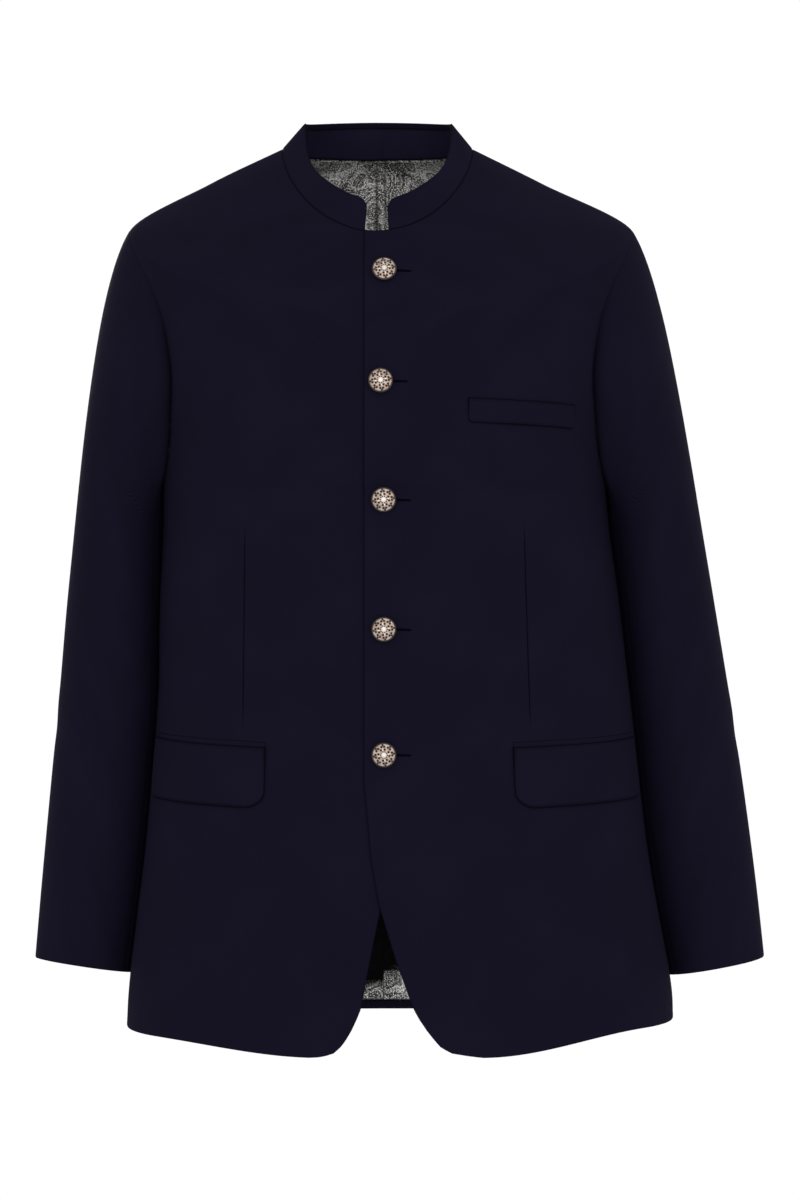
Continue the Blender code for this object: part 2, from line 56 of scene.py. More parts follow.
def linear(hex_colour: str) -> tuple[float, float, float, float]:
    """Turns an sRGB hex colour into linear RGBA.

    Args:
        hex_colour: six hex digits, with or without a leading #.

    Returns:
        Linear red, green, blue and an alpha of 1.
    """
    digits = hex_colour.lstrip("#")
    values = [int(digits[i:i + 2], 16) / 255.0 for i in (0, 2, 4)]
    return (*[v / 12.92 if v <= 0.04045 else ((v + 0.055) / 1.055) ** 2.4 for v in values], 1.0)


def bell(u: np.ndarray) -> np.ndarray:
    """A smooth hump: 1 at 0, and 0 by about 2 either way."""
    return np.exp(-u * u)


def ramp(u: np.ndarray) -> np.ndarray:
    """0 below 0, 1 above 1, with level ends."""
    u = np.clip(u, 0.0, 1.0)
    return u * u * (3.0 - 2.0 * u)


def bent(u: np.ndarray, power: np.ndarray | float) -> np.ndarray:
    """Raises the size of each value to a power and keeps its sign."""
    return np.sign(u) * np.abs(u) ** power


def unit(vectors: np.ndarray) -> np.ndarray:
    """The same directions at a length of 1."""
    return vectors / np.linalg.norm(vectors, axis=-1, keepdims=True)


def apart(points: np.ndarray, others: np.ndarray) -> np.ndarray:
    """Distances from one point to another, in mm."""
    return np.linalg.norm(points - others, axis=-1)


def matched(*values: np.ndarray | float) -> tuple[np.ndarray, ...]:
    """The values as arrays of one shape."""
    return tuple(np.broadcast_arrays(*(np.asarray(value, float) for value in values)))


def through(rows: np.ndarray, at: np.ndarray) -> np.ndarray:
    """A smooth curve through the rows of a table.

    Args:
        rows: the table, one row for each whole number.
        at: row numbers that may be fractions, of any shape.

    Returns:
        The table's columns at each of them.
    """
    rows = np.asarray(rows, dtype=float)
    at = np.asarray(at, dtype=float)
    i = np.clip(np.floor(at).astype(int), 0, len(rows) - 2)
    f = (at - i)[..., None]
    p1, p2 = rows[i], rows[i + 1]
    d1 = np.where((i > 0)[..., None], (p2 - rows[np.maximum(i - 1, 0)]) / 2.0, p2 - p1)
    d2 = np.where((i + 2 < len(rows))[..., None], (rows[np.minimum(i + 2, len(rows) - 1)] - p1) / 2.0, p2 - p1)
    return p1 * (1 - f) ** 2 * (1 + 2 * f) + d1 * f * (1 - f) ** 2 + p2 * f * f * (3 - 2 * f) - d2 * f * f * (1 - f)


def shares(
    length: float, step: float, first: tuple[float, ...] = (0.5, 1.6), last: tuple[float, ...] | None = None
) -> np.ndarray:
    """Shares of a length for a grid, with finer steps beside both ends, where cloth rolls over a seam.

    Args:
        length: the whole length, in mm.
        step: the step between the ends, in mm.
        first: distances from the first end that get a line of their own, in mm.
        last: the same for the last end, if they differ.

    Returns:
        Shares from 0 to 1.
    """
    near = np.array((0.0,) + first) / length
    far = 1.0 - np.array((0.0,) + (last or first)) / length
    count = max(int(round((far[-1] - near[-1]) * length / step)), 2)
    return np.concatenate([near[:-1], np.linspace(near[-1], far[-1], count + 1), far[-2::-1]])


def corner_cut(across: np.ndarray, length: float, corner: float) -> np.ndarray:
    """What the two rounded corners of a band take off its height.

    Args:
        across: shares of the band's length.
        length: the length, in mm.
        corner: the corners' radius, in mm.

    Returns:
        The height that is lost at each share, in mm.
    """
    near = np.minimum(np.minimum(across, 1.0 - across) * length, corner)
    return corner - np.sqrt(corner ** 2 - (corner - near) ** 2)


@dataclass(frozen=True)
class Fold:
    """A soft trough with a low ridge beside it, placed on a flattened panel.

    Sizes are in mm: the middle (a, b), the run of the fold in degrees from across, its length, half width and depth.
    """

    a: float
    b: float
    run: float
    length: float
    half_width: float
    depth: float

    BOW, BENDS = 0.0016, 2.2                        # how much a fold bows aside, and how often along its length
    RIDGE, RIDGE_AT, RIDGE_WIDTH = 0.55, 1.9, 1.1   # the ridge's height, place and width, as shares of the trough's

    def lift(self, a: np.ndarray, b: np.ndarray) -> np.ndarray:
        """How far the cloth lies out of its plain form.

        Args:
            a: where the points are across the flattened panel, in mm.
            b: where they are along it.

        Returns:
            The lift of each point, in mm.
        """
        turn = math.radians(self.run)
        along = (a - self.a) * math.cos(turn) + (b - self.b) * math.sin(turn)
        across = (b - self.b) * math.cos(turn) - (a - self.a) * math.sin(turn)
        across = across - self.BOW * self.half_width * along * np.sin(along / self.length * self.BENDS)
        fade = ramp(1.0 - np.abs(along) / (self.length / 2.0))
        trough = -bell(across / self.half_width)
        ridge = self.RIDGE * bell((across - self.RIDGE_AT * self.half_width) / (self.RIDGE_WIDTH * self.half_width))
        return self.depth * fade * (trough + ridge)


@dataclass(frozen=True)
class BodyForm:
    """The jacket's body as one surface, from the hem at level 0 to the neckline at level 9."""

    # z at front, side and back, middle x, half width, y at front, side and back, roundness
    levels: tuple[tuple[float, ...], ...] = (
        (-768.3, -768.3, -764.8, 15, 237, -121, 0, 118, 2.30),
        (-717, -717, -717, 15, 234, -121, 0, 115, 2.30),
        (-608, -608, -608, 12, 218, -120, 0, 106, 2.30),
        (-478, -478, -478, 10, 205, -117, 0, 92, 2.30),
        (-391, -391, -391, 6, 199, -116, 0, 88, 2.30),
        (-300, -300, -300, 2, 192, -119, 0, 99, 2.32),
        (-225, -196, -205, 0, 197, -120, 3, 110, 2.26),
        (-152, -69, -100, -1.5, 219, -109, 5, 102, 2.06),
        (-112, -29, -42, -5.5, 145, -98, 0, 89, 2.00),
        (-82, 0, 6, -4.5, 82.5, -88, -8, 72, 2.05),
    )
    arm: float = 5.0
    shoulder: float = 7.0
    neck: float = 9.0
    drop_power: float = 1.2
    hem_rise: tuple[float, float] = (16.5, 9.5)    # how far the hem climbs to the left and to the right side
    hem_rise_span: tuple[float, float] = (0.25, 0.85)   # sine of the angle where it starts, and where it is full
    hem_rise_top: float = 1.6
    shoulder_drop: float = 44.0     # how much flatter the shoulder line leaves the arm's point than a smooth curve
    side_seam: float = 100.0
    shoulder_seam: float = 90.0
    turnup: float = 0.175       # level of the turned hem's edge
    # levels of the panels' rows: close ones where the hem rolls, then first, last and step up to the arm and the neck
    hem_rows: tuple[float, ...] = (0.0, 0.011, 0.035, 0.08, 0.14, 0.2, 0.27, 0.35, 0.44)
    skirt_rows: tuple[float, float, float] = (0.52, 4.985, 0.062)
    armhole_rows: int = 71
    yoke_rows: tuple[float, float, float] = (7.06, 8.93, 0.075)
    neck_rows: tuple[float, float, float] = (8.965, 8.989, 9.0)
    # level, angle from the centre front where the front ends, angle from the centre back where the back ends
    armhole: tuple[tuple[float, float, float], ...] = (
        (5.00, 100.0, 80.0),
        (5.06, 87.0, 76.0),
        (5.18, 76.0, 72.0),
        (5.45, 70.3, 68.0),
        (5.75, 66.8, 65.5),
        (6.10, 62.8, 64.0),
        (6.50, 59.8, 64.0),
        (6.75, 63.0, 67.0),
        (6.90, 71.0, 74.0),
        (6.97, 80.0, 82.0),
        (7.00, 90.0, 90.0),
    )

    PROBE = (0.6, 0.02)     # degrees and levels to either side of a point whose normal is taken
    HALVINGS = 32           # of the span of levels, in looking for a height

    def ring(self, level: np.ndarray) -> np.ndarray:
        """The nine sizes of the body at each level."""
        return through(np.array(self.levels), level)

    def on_ring(self, ring: np.ndarray, angle: np.ndarray) -> np.ndarray:
        """Points on rings of nine sizes each.

        Args:
            ring: the nine sizes, in mm.
            angle: degrees from the centre front.

        Returns:
            Points in mm.
        """
        z_front, z_side, z_back, x_mid, half, y_front, y_side, y_back, roundness = np.moveaxis(ring, -1, 0)
        a = np.radians(angle)
        s, c = np.sin(a), np.cos(a)
        side = bent(s, 2.0 / roundness)
        ahead = np.abs(c) ** (2.0 / roundness)
        y_end = np.where(c > 0, y_front, y_back)
        z_end = np.where(c > 0, z_front, z_back)
        return np.stack([
            x_mid + half * side,
            y_side + (y_end - y_side) * ahead,
            z_side + (z_end - z_side) * np.abs(c) ** self.drop_power,
        ], axis=-1)

    def surface(self, angle: np.ndarray, level: np.ndarray) -> np.ndarray:
        """Points of the surface.

        Args:
            angle: degrees from the centre front, towards the wearer's left.
            level: levels above the hem.

        Returns:
            Points in mm.
        """
        angle, level = matched(angle, level)
        points = self.on_ring(self.ring(level), angle)
        s = np.sin(np.radians(angle))
        start, full = self.hem_rise_span
        climb = np.where(s > 0, *self.hem_rise) * ramp((np.abs(s) - start) / (full - start))
        f = np.clip(level - self.shoulder, 0.0, 1.0)
        drop = self.shoulder_drop * f * (1.0 - f) ** 2 * np.abs(s) ** 3
        points[..., 2] += climb * np.maximum(1.0 - level / self.hem_rise_top, 0.0) ** 2 - drop
        return points

    def normal(self, angle: np.ndarray, level: np.ndarray) -> np.ndarray:
        """Outward unit normals of the surface.

        Args:
            angle: degrees from the centre front.
            level: levels above the hem.

        Returns:
            Unit vectors.
        """
        angle, level = matched(angle, level)
        da, dv = self.PROBE
        along = self.surface(angle + da, level) - self.surface(angle - da, level)
        up = self.surface(angle, np.minimum(level + dv, self.neck)) - self.surface(angle, np.maximum(level - dv, 0))
        return unit(np.cross(along, up))

    def grid(self, angle: np.ndarray, levels: np.ndarray) -> tuple[np.ndarray, np.ndarray, np.ndarray]:
        """The level, the point and the outward normal at each angle of a grid with one level to a row."""
        level = np.broadcast_to(levels[:, None], angle.shape)
        return level, self.surface(angle, level), self.normal(angle, level)

    def angle_at_x(self, x: np.ndarray, level: np.ndarray) -> np.ndarray:
        """Angles in the front half where the surface has these x.

        Args:
            x: in mm.
            level: levels above the hem.

        Returns:
            Angles in degrees.
        """
        ring = self.ring(level)
        u = (np.asarray(x, float) - ring[..., 3]) / ring[..., 4]
        return np.degrees(np.arcsin(bent(np.clip(u, -1.0, 1.0), ring[..., 8] / 2.0)))

    def level_where(self, z: np.ndarray, angle_of: Callable[[np.ndarray], np.ndarray]) -> np.ndarray:
        """Levels where the surface has these heights.

        Args:
            z: the heights, in mm.
            angle_of: gives the angles for levels.

        Returns:
            Levels above the hem.
        """
        low, high = np.zeros(z.shape), np.full(z.shape, self.neck)
        for _ in range(self.HALVINGS):
            level = (low + high) / 2.0
            below = self.surface(angle_of(level), level)[..., 2] < z
            low, high = np.where(below, level, low), np.where(below, high, level)
        return level

    def level_at(self, angle: np.ndarray, z: np.ndarray) -> np.ndarray:
        """Levels where the surface has these heights, at fixed angles."""
        angle, z = matched(angle, z)
        return self.level_where(z, lambda level: angle)

    def place(self, x: np.ndarray, z: np.ndarray) -> tuple[np.ndarray, np.ndarray]:
        """Finds points of the front.

        Args:
            x: their x, in mm.
            z: their heights, in mm.

        Returns:
            Their angles and levels.
        """
        x, z = matched(x, z)
        level = self.level_where(z, lambda level: self.angle_at_x(x, level))
        return self.angle_at_x(x, level), level

    def panel_rows(self) -> tuple[np.ndarray, np.ndarray, np.ndarray]:
        """Levels of the panels' rows, and the angles where the fronts and the backs end there.

        Returns:
            Levels, angles from the centre front and angles from the centre back.
        """
        knots = np.array(self.armhole)
        skirt = np.concatenate([self.hem_rows, np.arange(*self.skirt_rows)])
        hole = through(knots, np.linspace(0.0, len(knots) - 1.0, self.armhole_rows))
        yoke = np.concatenate([np.arange(*self.yoke_rows), self.neck_rows])
        shoulder = np.full(len(yoke), self.shoulder_seam)
        front = np.concatenate([np.full(len(skirt), self.side_seam), hole[:, 1], shoulder])
        back = np.concatenate([np.full(len(skirt), 180.0 - self.side_seam), hole[:, 2], shoulder])
        return np.concatenate([skirt, hole[:, 0], yoke]), front, back


BODY = BodyForm()
LAP = (-36.0, -19.0)    # x where the under-lap of the right front starts to sink, and where it is fully under
BACK_WIDTH = 262.0      # nominal width of one back, in mm


def lapped(x: np.ndarray) -> np.ndarray:
    """How far the right front has sunk under the left at these x, from 0 to 1."""
    return ramp((x - LAP[0]) / (LAP[1] - LAP[0]))


@dataclass(frozen=True)
class Allowances:
    """Walls and the spaces between sewn pieces, in mm."""

    cloth: float = 1.6
    lining: float = 1.1
    collar: float = 1.9
    band: float = 1.1
    trim: float = 1.3
    seam: float = 0.05      # seams are drawn shut, since light shows through an open one
    under: float = 0.35     # space between two layers that lie on each other
    trim_ease: float = 0.5
    lining_ease: float = 0.8
    allowance: float = 12.0     # width of suiting that shows inside along the armholes
    roll: float = 0.42      # how far a seamed edge rolls down into its seam
    roll_width: float = 1.7
    # strength of the two painted shades that lie over each other along the armhole, and how much thinner the second is
    shades: tuple[float, float, float] = (0.45, 0.3, 3.0)
    shade_head: float = -95.0   # z where the painted shade along the armhole starts
    shade_run: float = 110.0    # below which it is at its full strength after this height
    shade_line: float = 3.5     # its width on the fronts and backs


CUT = Allowances()


def runs(grid: np.ndarray) -> tuple[np.ndarray, np.ndarray]:
    """Measures a grid along its rows and its columns.

    Args:
        grid: rows by columns by 3, in mm.

    Returns:
        How far each point is from its row's start, and from its column's start, in mm.
    """
    rows, cols = grid.shape[:2]
    across = np.cumsum(np.linalg.norm(np.diff(grid, axis=1), axis=2), axis=1)
    along = np.cumsum(np.linalg.norm(np.diff(grid, axis=0), axis=2), axis=0)
    return np.concatenate([np.zeros((rows, 1)), across], 1), np.concatenate([np.zeros((1, cols)), along], 0)


def half_seam(
    surface: Callable[[np.ndarray, np.ndarray], np.ndarray], angle: np.ndarray | float, level: np.ndarray
) -> np.ndarray:
    """Half the space of a seam that runs across a form's rows.

    Args:
        surface: gives the form's points for angles and levels.
        angle: the seam's angle in each row.
        level: the rows.

    Returns:
        The angle that half the seam takes up in each row, in degrees.
    """
    return CUT.seam / 2.0 / apart(surface(angle + 0.5, level), surface(angle - 0.5, level))


def placed(name: str, data: bpy.types.ID) -> bpy.types.Object:
    """Puts an object in the scene.

    Args:
        name: its name.
        data: its mesh, light or camera.

    Returns:
        The object.
    """
    obj = bpy.data.objects.new(name, data)
    bpy.context.scene.collection.objects.link(obj)
    return obj


def wall(
    name: str,
    outer: np.ndarray,
    inner: np.ndarray,
    finishes: tuple[bpy.types.Material, bpy.types.Material],
    facing: np.ndarray | None = None,
) -> bpy.types.Object:
    """A closed wall of cloth between two grids of points.

    Args:
        name: the piece's name.
        outer: rows by columns by 3, in mm, the face that shows.
        inner: the same for the other face.
        finishes: the material of the face and edges, and of the other face.
        facing: where the other face is of the first material too, one value for each point of a grid.

    Returns:
        The object, with a UV map in metres along the cloth.
    """
    rows, cols = outer.shape[:2]
    far, last = rows * cols, (rows - 1) * cols
    faces: list[tuple[int, ...]] = []
    sides: list[int] = []
    for r in range(rows - 1):
        for c in range(cols - 1):
            a, b = r * cols + c, r * cols + c + 1
            faces += [(a, b, b + cols, a + cols), (far + a + cols, far + b + cols, far + b, far + a)]
            sides += [0, 0 if facing is not None and facing[r, c] else 1]
    for a, b in zip(range(cols - 1), range(1, cols)):
        faces += [(far + a, far + b, b, a), (last + a, last + b, far + last + b, far + last + a)]
    for a, b in zip(range(0, last, cols), range(cols, far, cols)):
        faces += [(a, b, far + b, far + a), (far + a + cols - 1, far + b + cols - 1, b + cols - 1, a + cols - 1)]
    sides += [0] * (len(faces) - len(sides))
    across, along = runs(outer)
    across -= across[:, cols // 2:cols // 2 + 1]
    uv = np.stack([across, along], axis=-1).reshape(-1, 2) * MM
    mesh = bpy.data.meshes.new(name)
    mesh.from_pydata((np.concatenate([outer.reshape(-1, 3), inner.reshape(-1, 3)]) * MM).tolist(), [], faces)
    for finish in finishes:
        mesh.materials.append(finish)
    mesh.polygons.foreach_set("material_index", sides)
    corner = np.empty(len(mesh.loops), dtype=int)
    mesh.loops.foreach_get("vertex_index", corner)
    mesh.uv_layers.new(name="cloth").data.foreach_set("uv", uv[corner % far].ravel())
    return finished(name, mesh)


def finished(name: str, mesh: bpy.types.Mesh, sharp: float = 50.0) -> bpy.types.Object:
    """Turns a mesh outwards, shades it smooth but for its sharp edges, and puts it in the scene.

    Args:
        name: the object's name.
        mesh: a closed mesh.
        sharp: angle from which an edge stays sharp, in degrees.

    Returns:
        The object.
    """
    bm = bmesh.new()
    bm.from_mesh(mesh)
    if bm.calc_volume(signed=True) < 0:
        bmesh.ops.reverse_faces(bm, faces=bm.faces[:])
    bm.to_mesh(mesh)
    bm.free()
    mesh.shade_smooth()
    mesh.set_sharp_from_angle(angle=math.radians(sharp))
    return placed(name, mesh)


def declare(obj: bpy.types.Object, nodes: tuple[str, ...]) -> bpy.types.Object:
    """Rides a piece on the jacket, hides the solids that it stands for, and logs its faces.

    Args:
        obj: the piece.
        nodes: the solids' nodes.

    Returns:
        The piece.
    """
    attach(obj, "root")
    if nodes:
        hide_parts(*nodes)
    LOG.info("%s: %d faces", obj.name, len(obj.data.polygons))
    return obj


def declare_sheet(
    obj: bpy.types.Object, outer: np.ndarray
) -> bpy.types.Object:
    """Logs the size of a piece of cloth's cut and its area, measured along its own rows and columns.

    Args:
        obj: the piece, already riding.
        outer: its face, rows by columns by 3, in mm.

    Returns:
        The piece.
    """
    across, along = (float(run.max()) * MM for run in runs(outer))
    one, two = outer[:-1, :-1], outer[1:, 1:]
    three, four = outer[:-1, 1:], outer[1:, :-1]
    area = float(np.linalg.norm(np.cross(two - one, four - three), axis=2).sum() / 2.0) * MM * MM
    area = min(max(area, LEAST_SHARE * across * along), across * along)
    LOG.info("%s: cut %.0f x %.0f mm, %.4f m2", obj.name, across / MM, along / MM, area)
    return obj


def wire(tree: bpy.types.NodeTree, node: bpy.types.Node, inputs: dict) -> None:
    """Sets a node's inputs, or links sockets into them.

    Args:
        tree: the node tree.
        node: the node.
        inputs: values, output sockets or nodes with their first output, by the name or number of the input.
    """
    for key, value in inputs.items():
        value = value.outputs[0] if isinstance(value, bpy.types.Node) else value
        if isinstance(value, bpy.types.NodeSocket):
            tree.links.new(value, node.inputs[key])
        else:
            node.inputs[key].default_value = value


def add(
    tree: bpy.types.NodeTree, kind: str, settings: dict | None = None, inputs: dict | None = None
) -> bpy.types.Node:
    """Adds a node to a tree, with its settings, its values and the sockets linked into it.

    Args:
        tree: the node tree.
        kind: Blender's name of the node.
        settings: the node's own properties.
        inputs: values, output sockets or nodes with their first output, by the name or number of the input.

    Returns:
        The node.
    """
    made = tree.nodes.new(kind)
    for key, value in (settings or {}).items():
        setattr(made, key, value)
    wire(tree, made, inputs or {})
    return made


def blank(name: str) -> tuple[bpy.types.Material, bpy.types.NodeTree, bpy.types.Node]:
    """Starts a material.

    Args:
        name: its name.

    Returns:
        The material, its tree and its shader.
    """
    material = bpy.data.materials.new(name)
    material.use_nodes = True
    return material, material.node_tree, material.node_tree.nodes["Principled BSDF"]


def stops(made: bpy.types.Node, *pairs: tuple[float, tuple[float, float, float, float]]) -> bpy.types.NodeSocket:
    """Sets the stops of a colour ramp.

    Args:
        made: the ramp's node.
        pairs: places from 0 to 1, each with its linear colour.

    Returns:
        The ramp's colour.
    """
    ramp_stops = made.color_ramp.elements
    while len(ramp_stops) < len(pairs):
        ramp_stops.new(0.5)
    for stop, (place, colour) in zip(ramp_stops, pairs):
        stop.position, stop.color = place, colour
    return made.outputs["Color"]


@dataclass(frozen=True)
class Worsted:
    """Fine worsted suiting: a smooth, close twill of dark navy-violet wool, pressed, with a short soft sheen.

    The twill repeats about every half millimetre, as the real one does, so from afar the cloth looks smooth.
    """

    name: str = "worsted_suiting"
    ground: str = "100e19"
    thread: str = "161424"
    # colour of the painted shade that the seam attribute mixes in
    seam_shade: str = "020204"
    twill_mm: float = 0.55
    fibre_mm: float = 0.5
    cloud_mm: float = 70.0
    roughness: float = 0.88
    sheen: float = 0.006
    sheen_tint: str = "b9b4e0"
    slant: float = -27.0        # degrees by which the twill leans
    wale: float = 0.7           # height of a wale as a share of a fibre's
    drift: tuple[float, float] = (0.9, 1.1)     # least and greatest brightness of the slow drift in tone
    uneven: float = 0.06        # how much the roughness varies from fibre to fibre

    def make(self) -> bpy.types.Material:
        """Builds the material.

        Returns:
            The material.
        """
        material, tree, shader = blank(self.name)
        cloth = add(tree, "ShaderNodeUVMap", {"uv_map": "cloth"}).outputs["UV"]
        slant = add(tree, "ShaderNodeMapping", {}, {"Vector": cloth, "Rotation": (0.0, 0.0, math.radians(self.slant))})
        twill = add(tree, "ShaderNodeTexWave", {"wave_profile": "SIN"}, {
            "Vector": slant, "Scale": math.tau / 20.0 / (self.twill_mm * MM), "Distortion": 1.5,
            "Detail": 1.0, "Detail Scale": 0.3,
        })
        fibre = add(tree, "ShaderNodeTexNoise", {}, {
            "Vector": cloth, "Scale": 1.0 / (self.fibre_mm * MM), "Detail": 2.0, "Roughness": 0.6,
        })
        cloud = add(tree, "ShaderNodeTexNoise", {}, {
            "Vector": cloth, "Scale": 1.0 / (self.cloud_mm * MM), "Detail": 3.0, "Roughness": 0.5,
        })
        yarn = add(tree, "ShaderNodeMix", {"data_type": "RGBA"}, {
            0: twill.outputs["Fac"], 6: linear(self.ground), 7: linear(self.thread),
        })
        drift = add(tree, "ShaderNodeMapRange", {}, {
            "Value": cloud, 1: 0.3, 2: 0.7, 3: self.drift[0], 4: self.drift[1],
        })
        pressed = add(tree, "ShaderNodeVectorMath", {"operation": "SCALE"}, {0: yarn.outputs[2], "Scale": drift})
        # painted shade: the seam attribute darkens the cloth along seams, the dart, the armhole and the pockets' edges
        seam = add(tree, "ShaderNodeAttribute", {"attribute_name": "seam"})
        shaded = add(tree, "ShaderNodeMix", {"data_type": "RGBA"}, {
            0: seam.outputs["Fac"], 6: pressed, 7: linear(self.seam_shade),
        })
        relief = add(tree, "ShaderNodeMath", {"operation": "MULTIPLY_ADD"}, {
            0: twill.outputs["Fac"], 1: self.wale, 2: fibre,
        })
        bump = add(tree, "ShaderNodeBump", {}, {"Height": relief, "Strength": 0.35, "Distance": 0.00025})
        rough = add(tree, "ShaderNodeMapRange", {}, {
            "Value": fibre, 3: self.roughness - self.uneven, 4: self.roughness + self.uneven,
        })
        wire(tree, shader, {
            "Base Color": shaded.outputs[2], "Roughness": rough, "Normal": bump, "IOR": 1.25,
            "Specular IOR Level": 0.05, "Sheen Weight": self.sheen, "Sheen Roughness": 0.4,
            "Sheen Tint": linear(self.sheen_tint),
        })
        return material


@dataclass(frozen=True)
class FiguredLining:
    """Jacquard lining: satin viscose with a close figure of curled leaves, light and dark on mid grey."""

    name: str = "figured_lining"
    light: str = "fbfaf6"
    middle: str = "6a6a68"
    # the figure's darkest tone, and also the colour of the painted shade that the seam attribute mixes in
    dark: str = "030304"
    figure_mm: float = 26.0
    bends: float = 1.3           # how many times the figure is bent over its own length
    curl: float = 0.9            # how far it is bent, as a share of that length
    vein_mm: float = 3.2
    thread_mm: float = 1.05      # coarser than the real yarn, so that a speck stays wider than a pixel
    leaf: tuple[float, float] = (0.20, 0.30)     # where a leaf's plain body starts to end and ends, in cells
    plain: tuple[float, float] = (0.32, 0.67)    # how plain that body is, and its tone
    rim: tuple[float, float, float] = (0.33, 0.03, 0.11)    # place, width and brightness of a leaf's rim
    zone: float = 0.3            # how much whole leaves differ
    zones: float = 0.8           # how many times that changes over a figure's length
    vein: float = 0.06           # brightness of the fine rings
    levels: tuple[float, ...] = (0.57, 0.63, 0.69, 0.765)   # ends of the dark, of the middle tone and of the light

    def make(self) -> bpy.types.Material:
        """Builds the material.

        Returns:
            The material.
        """
        material, tree, shader = blank(self.name)
        cloth = add(tree, "ShaderNodeUVMap", {"uv_map": "cloth"}).outputs["UV"]
        bend = add(tree, "ShaderNodeTexNoise", {}, {
            "Vector": cloth, "Scale": self.bends / (self.figure_mm * MM), "Detail": 2.0,
        })
        curl = add(tree, "ShaderNodeVectorMath", {"operation": "MULTIPLY_ADD"}, {
            0: bend.outputs["Color"], 1: (self.figure_mm * MM * self.curl,) * 3, 2: cloth,
        })
        # each cell holds one plain leaf with a beaded rim, and fine rings about it
        leaf = add(tree, "ShaderNodeTexVoronoi", {"feature": "F1", "voronoi_dimensions": "2D"}, {
            "Vector": curl, "Scale": 1.0 / (self.figure_mm * MM), "Randomness": 0.8,
        })
        away = leaf.outputs["Distance"]
        body = add(tree, "ShaderNodeMapRange", {}, {
            "Value": away, 1: self.leaf[0], 2: self.leaf[1], 3: self.plain[0], 4: 0.0,
        })
        rings = add(tree, "ShaderNodeMath", {"operation": "MULTIPLY"}, {
            0: away, 1: math.tau * self.figure_mm / self.vein_mm,
        })
        veins = add(tree, "ShaderNodeMath", {"operation": "SINE"}, {0: rings})
        rim = add(tree, "ShaderNodeMath", {"operation": "COMPARE"}, {0: away, 1: self.rim[0], 2: self.rim[1]})
        speck = add(tree, "ShaderNodeTexNoise", {}, {
            "Vector": cloth, "Scale": 1.0 / (self.thread_mm * MM), "Detail": 1.0, "Roughness": 0.6,
        })
        broken = add(tree, "ShaderNodeMath", {"operation": "MULTIPLY"}, {0: rim, 1: self.rim[2]})
        zones = add(tree, "ShaderNodeTexNoise", {}, {
            "Vector": cloth, "Scale": self.zones / (self.figure_mm * MM), "Detail": 1.0,
        })
        zoned = add(tree, "ShaderNodeMath", {"operation": "MULTIPLY_ADD"}, {0: zones, 1: self.zone, 2: speck})
        veined = add(tree, "ShaderNodeMath", {"operation": "MULTIPLY_ADD"}, {0: veins, 1: self.vein, 2: zoned})
        figured = add(tree, "ShaderNodeMath", {"operation": "ADD"}, {0: veined, 1: broken})
        mixed = add(tree, "ShaderNodeMix", {"data_type": "FLOAT"}, {0: body, 2: figured, 3: self.plain[1]})
        tones = map(linear, (self.dark, self.middle, self.middle, self.light))
        tone = stops(add(tree, "ShaderNodeValToRGB", {}, {"Fac": mixed}), *zip(self.levels, tones))
        # painted shade: the seam attribute darkens the lining in the pleat's folds, below the stand and in the hollow
        # above the hem
        seam = add(tree, "ShaderNodeAttribute", {"attribute_name": "seam"})
        shaded = add(tree, "ShaderNodeMix", {"data_type": "RGBA"}, {
            0: seam.outputs["Fac"], 6: tone, 7: linear(self.dark),
        })
        bump = add(tree, "ShaderNodeBump", {}, {"Height": speck, "Strength": 0.3, "Distance": 0.0003})
        rough = add(tree, "ShaderNodeMapRange", {}, {"Value": speck, 3: 0.6, 4: 0.4})
        wire(tree, shader, {
            "Base Color": shaded.outputs[2], "Roughness": rough, "Normal": bump, "IOR": 1.5, "Specular IOR Level": 0.01,
        })
        return material


@dataclass(frozen=True)
class RoseBrass:
    """Die-struck rose brass: high parts lightly rubbed by wear, oxidised dark in the pierced figure, with a painted
    highlight on the beads and a painted shade round the rim.
    """

    name: str = "rose_brass"
    bright: str = "bcada2"
    warm: str = "9d8474"
    # colour of the painted highlight on the raised beads
    bead: str = "f1ebe4"
    oxide: str = "140b0a"
    wear: float = 420.0         # patches of wear to the metre, about 2.4 mm each
    grain: float = 3500.0       # grains to the metre, about 0.3 mm each

    def make(self) -> bpy.types.Material:
        """Builds the material.

        Returns:
            The material.
        """
        material, tree, shader = blank(self.name)
        place = add(tree, "ShaderNodeTexCoord").outputs["Object"]
        wear = add(tree, "ShaderNodeTexNoise", {}, {
            "Vector": place, "Scale": self.wear, "Detail": 4.0, "Roughness": 0.6,
        })
        grain = add(tree, "ShaderNodeTexNoise", {}, {"Vector": place, "Scale": self.grain, "Detail": 2.0})
        metal = stops(
            add(tree, "ShaderNodeValToRGB", {}, {"Fac": wear}),
            (0.35, linear(self.warm)), (0.62, linear(self.bright)),
        )
        # painted highlight: the bead attribute brightens the beads and the boss towards the bead colour
        beads = add(tree, "ShaderNodeAttribute", {"attribute_name": "bead"})
        bead_highlighted = add(tree, "ShaderNodeMix", {"data_type": "RGBA"}, {
            0: beads.outputs["Fac"], 6: metal, 7: linear(self.bead),
        })
        # the metal's own oxide in the pierced figure, and the painted shade round the rim
        recess = add(tree, "ShaderNodeAttribute", {"attribute_name": "recess"})
        colour = add(tree, "ShaderNodeMix", {"data_type": "RGBA"}, {
            0: recess.outputs["Fac"], 6: bead_highlighted.outputs[2], 7: linear(self.oxide),
        })
        metallic = add(tree, "ShaderNodeMapRange", {}, {"Value": recess.outputs["Fac"], 3: 1.0, 4: 0.25})
        rough = add(tree, "ShaderNodeMapRange", {}, {"Value": recess.outputs["Fac"], 3: 0.55, 4: 0.85})
        bump = add(tree, "ShaderNodeBump", {}, {"Height": grain, "Strength": 0.15, "Distance": 0.0001})
        wire(tree, shader, {"Base Color": colour.outputs[2], "Metallic": metallic, "Roughness": rough, "Normal": bump})
        return material


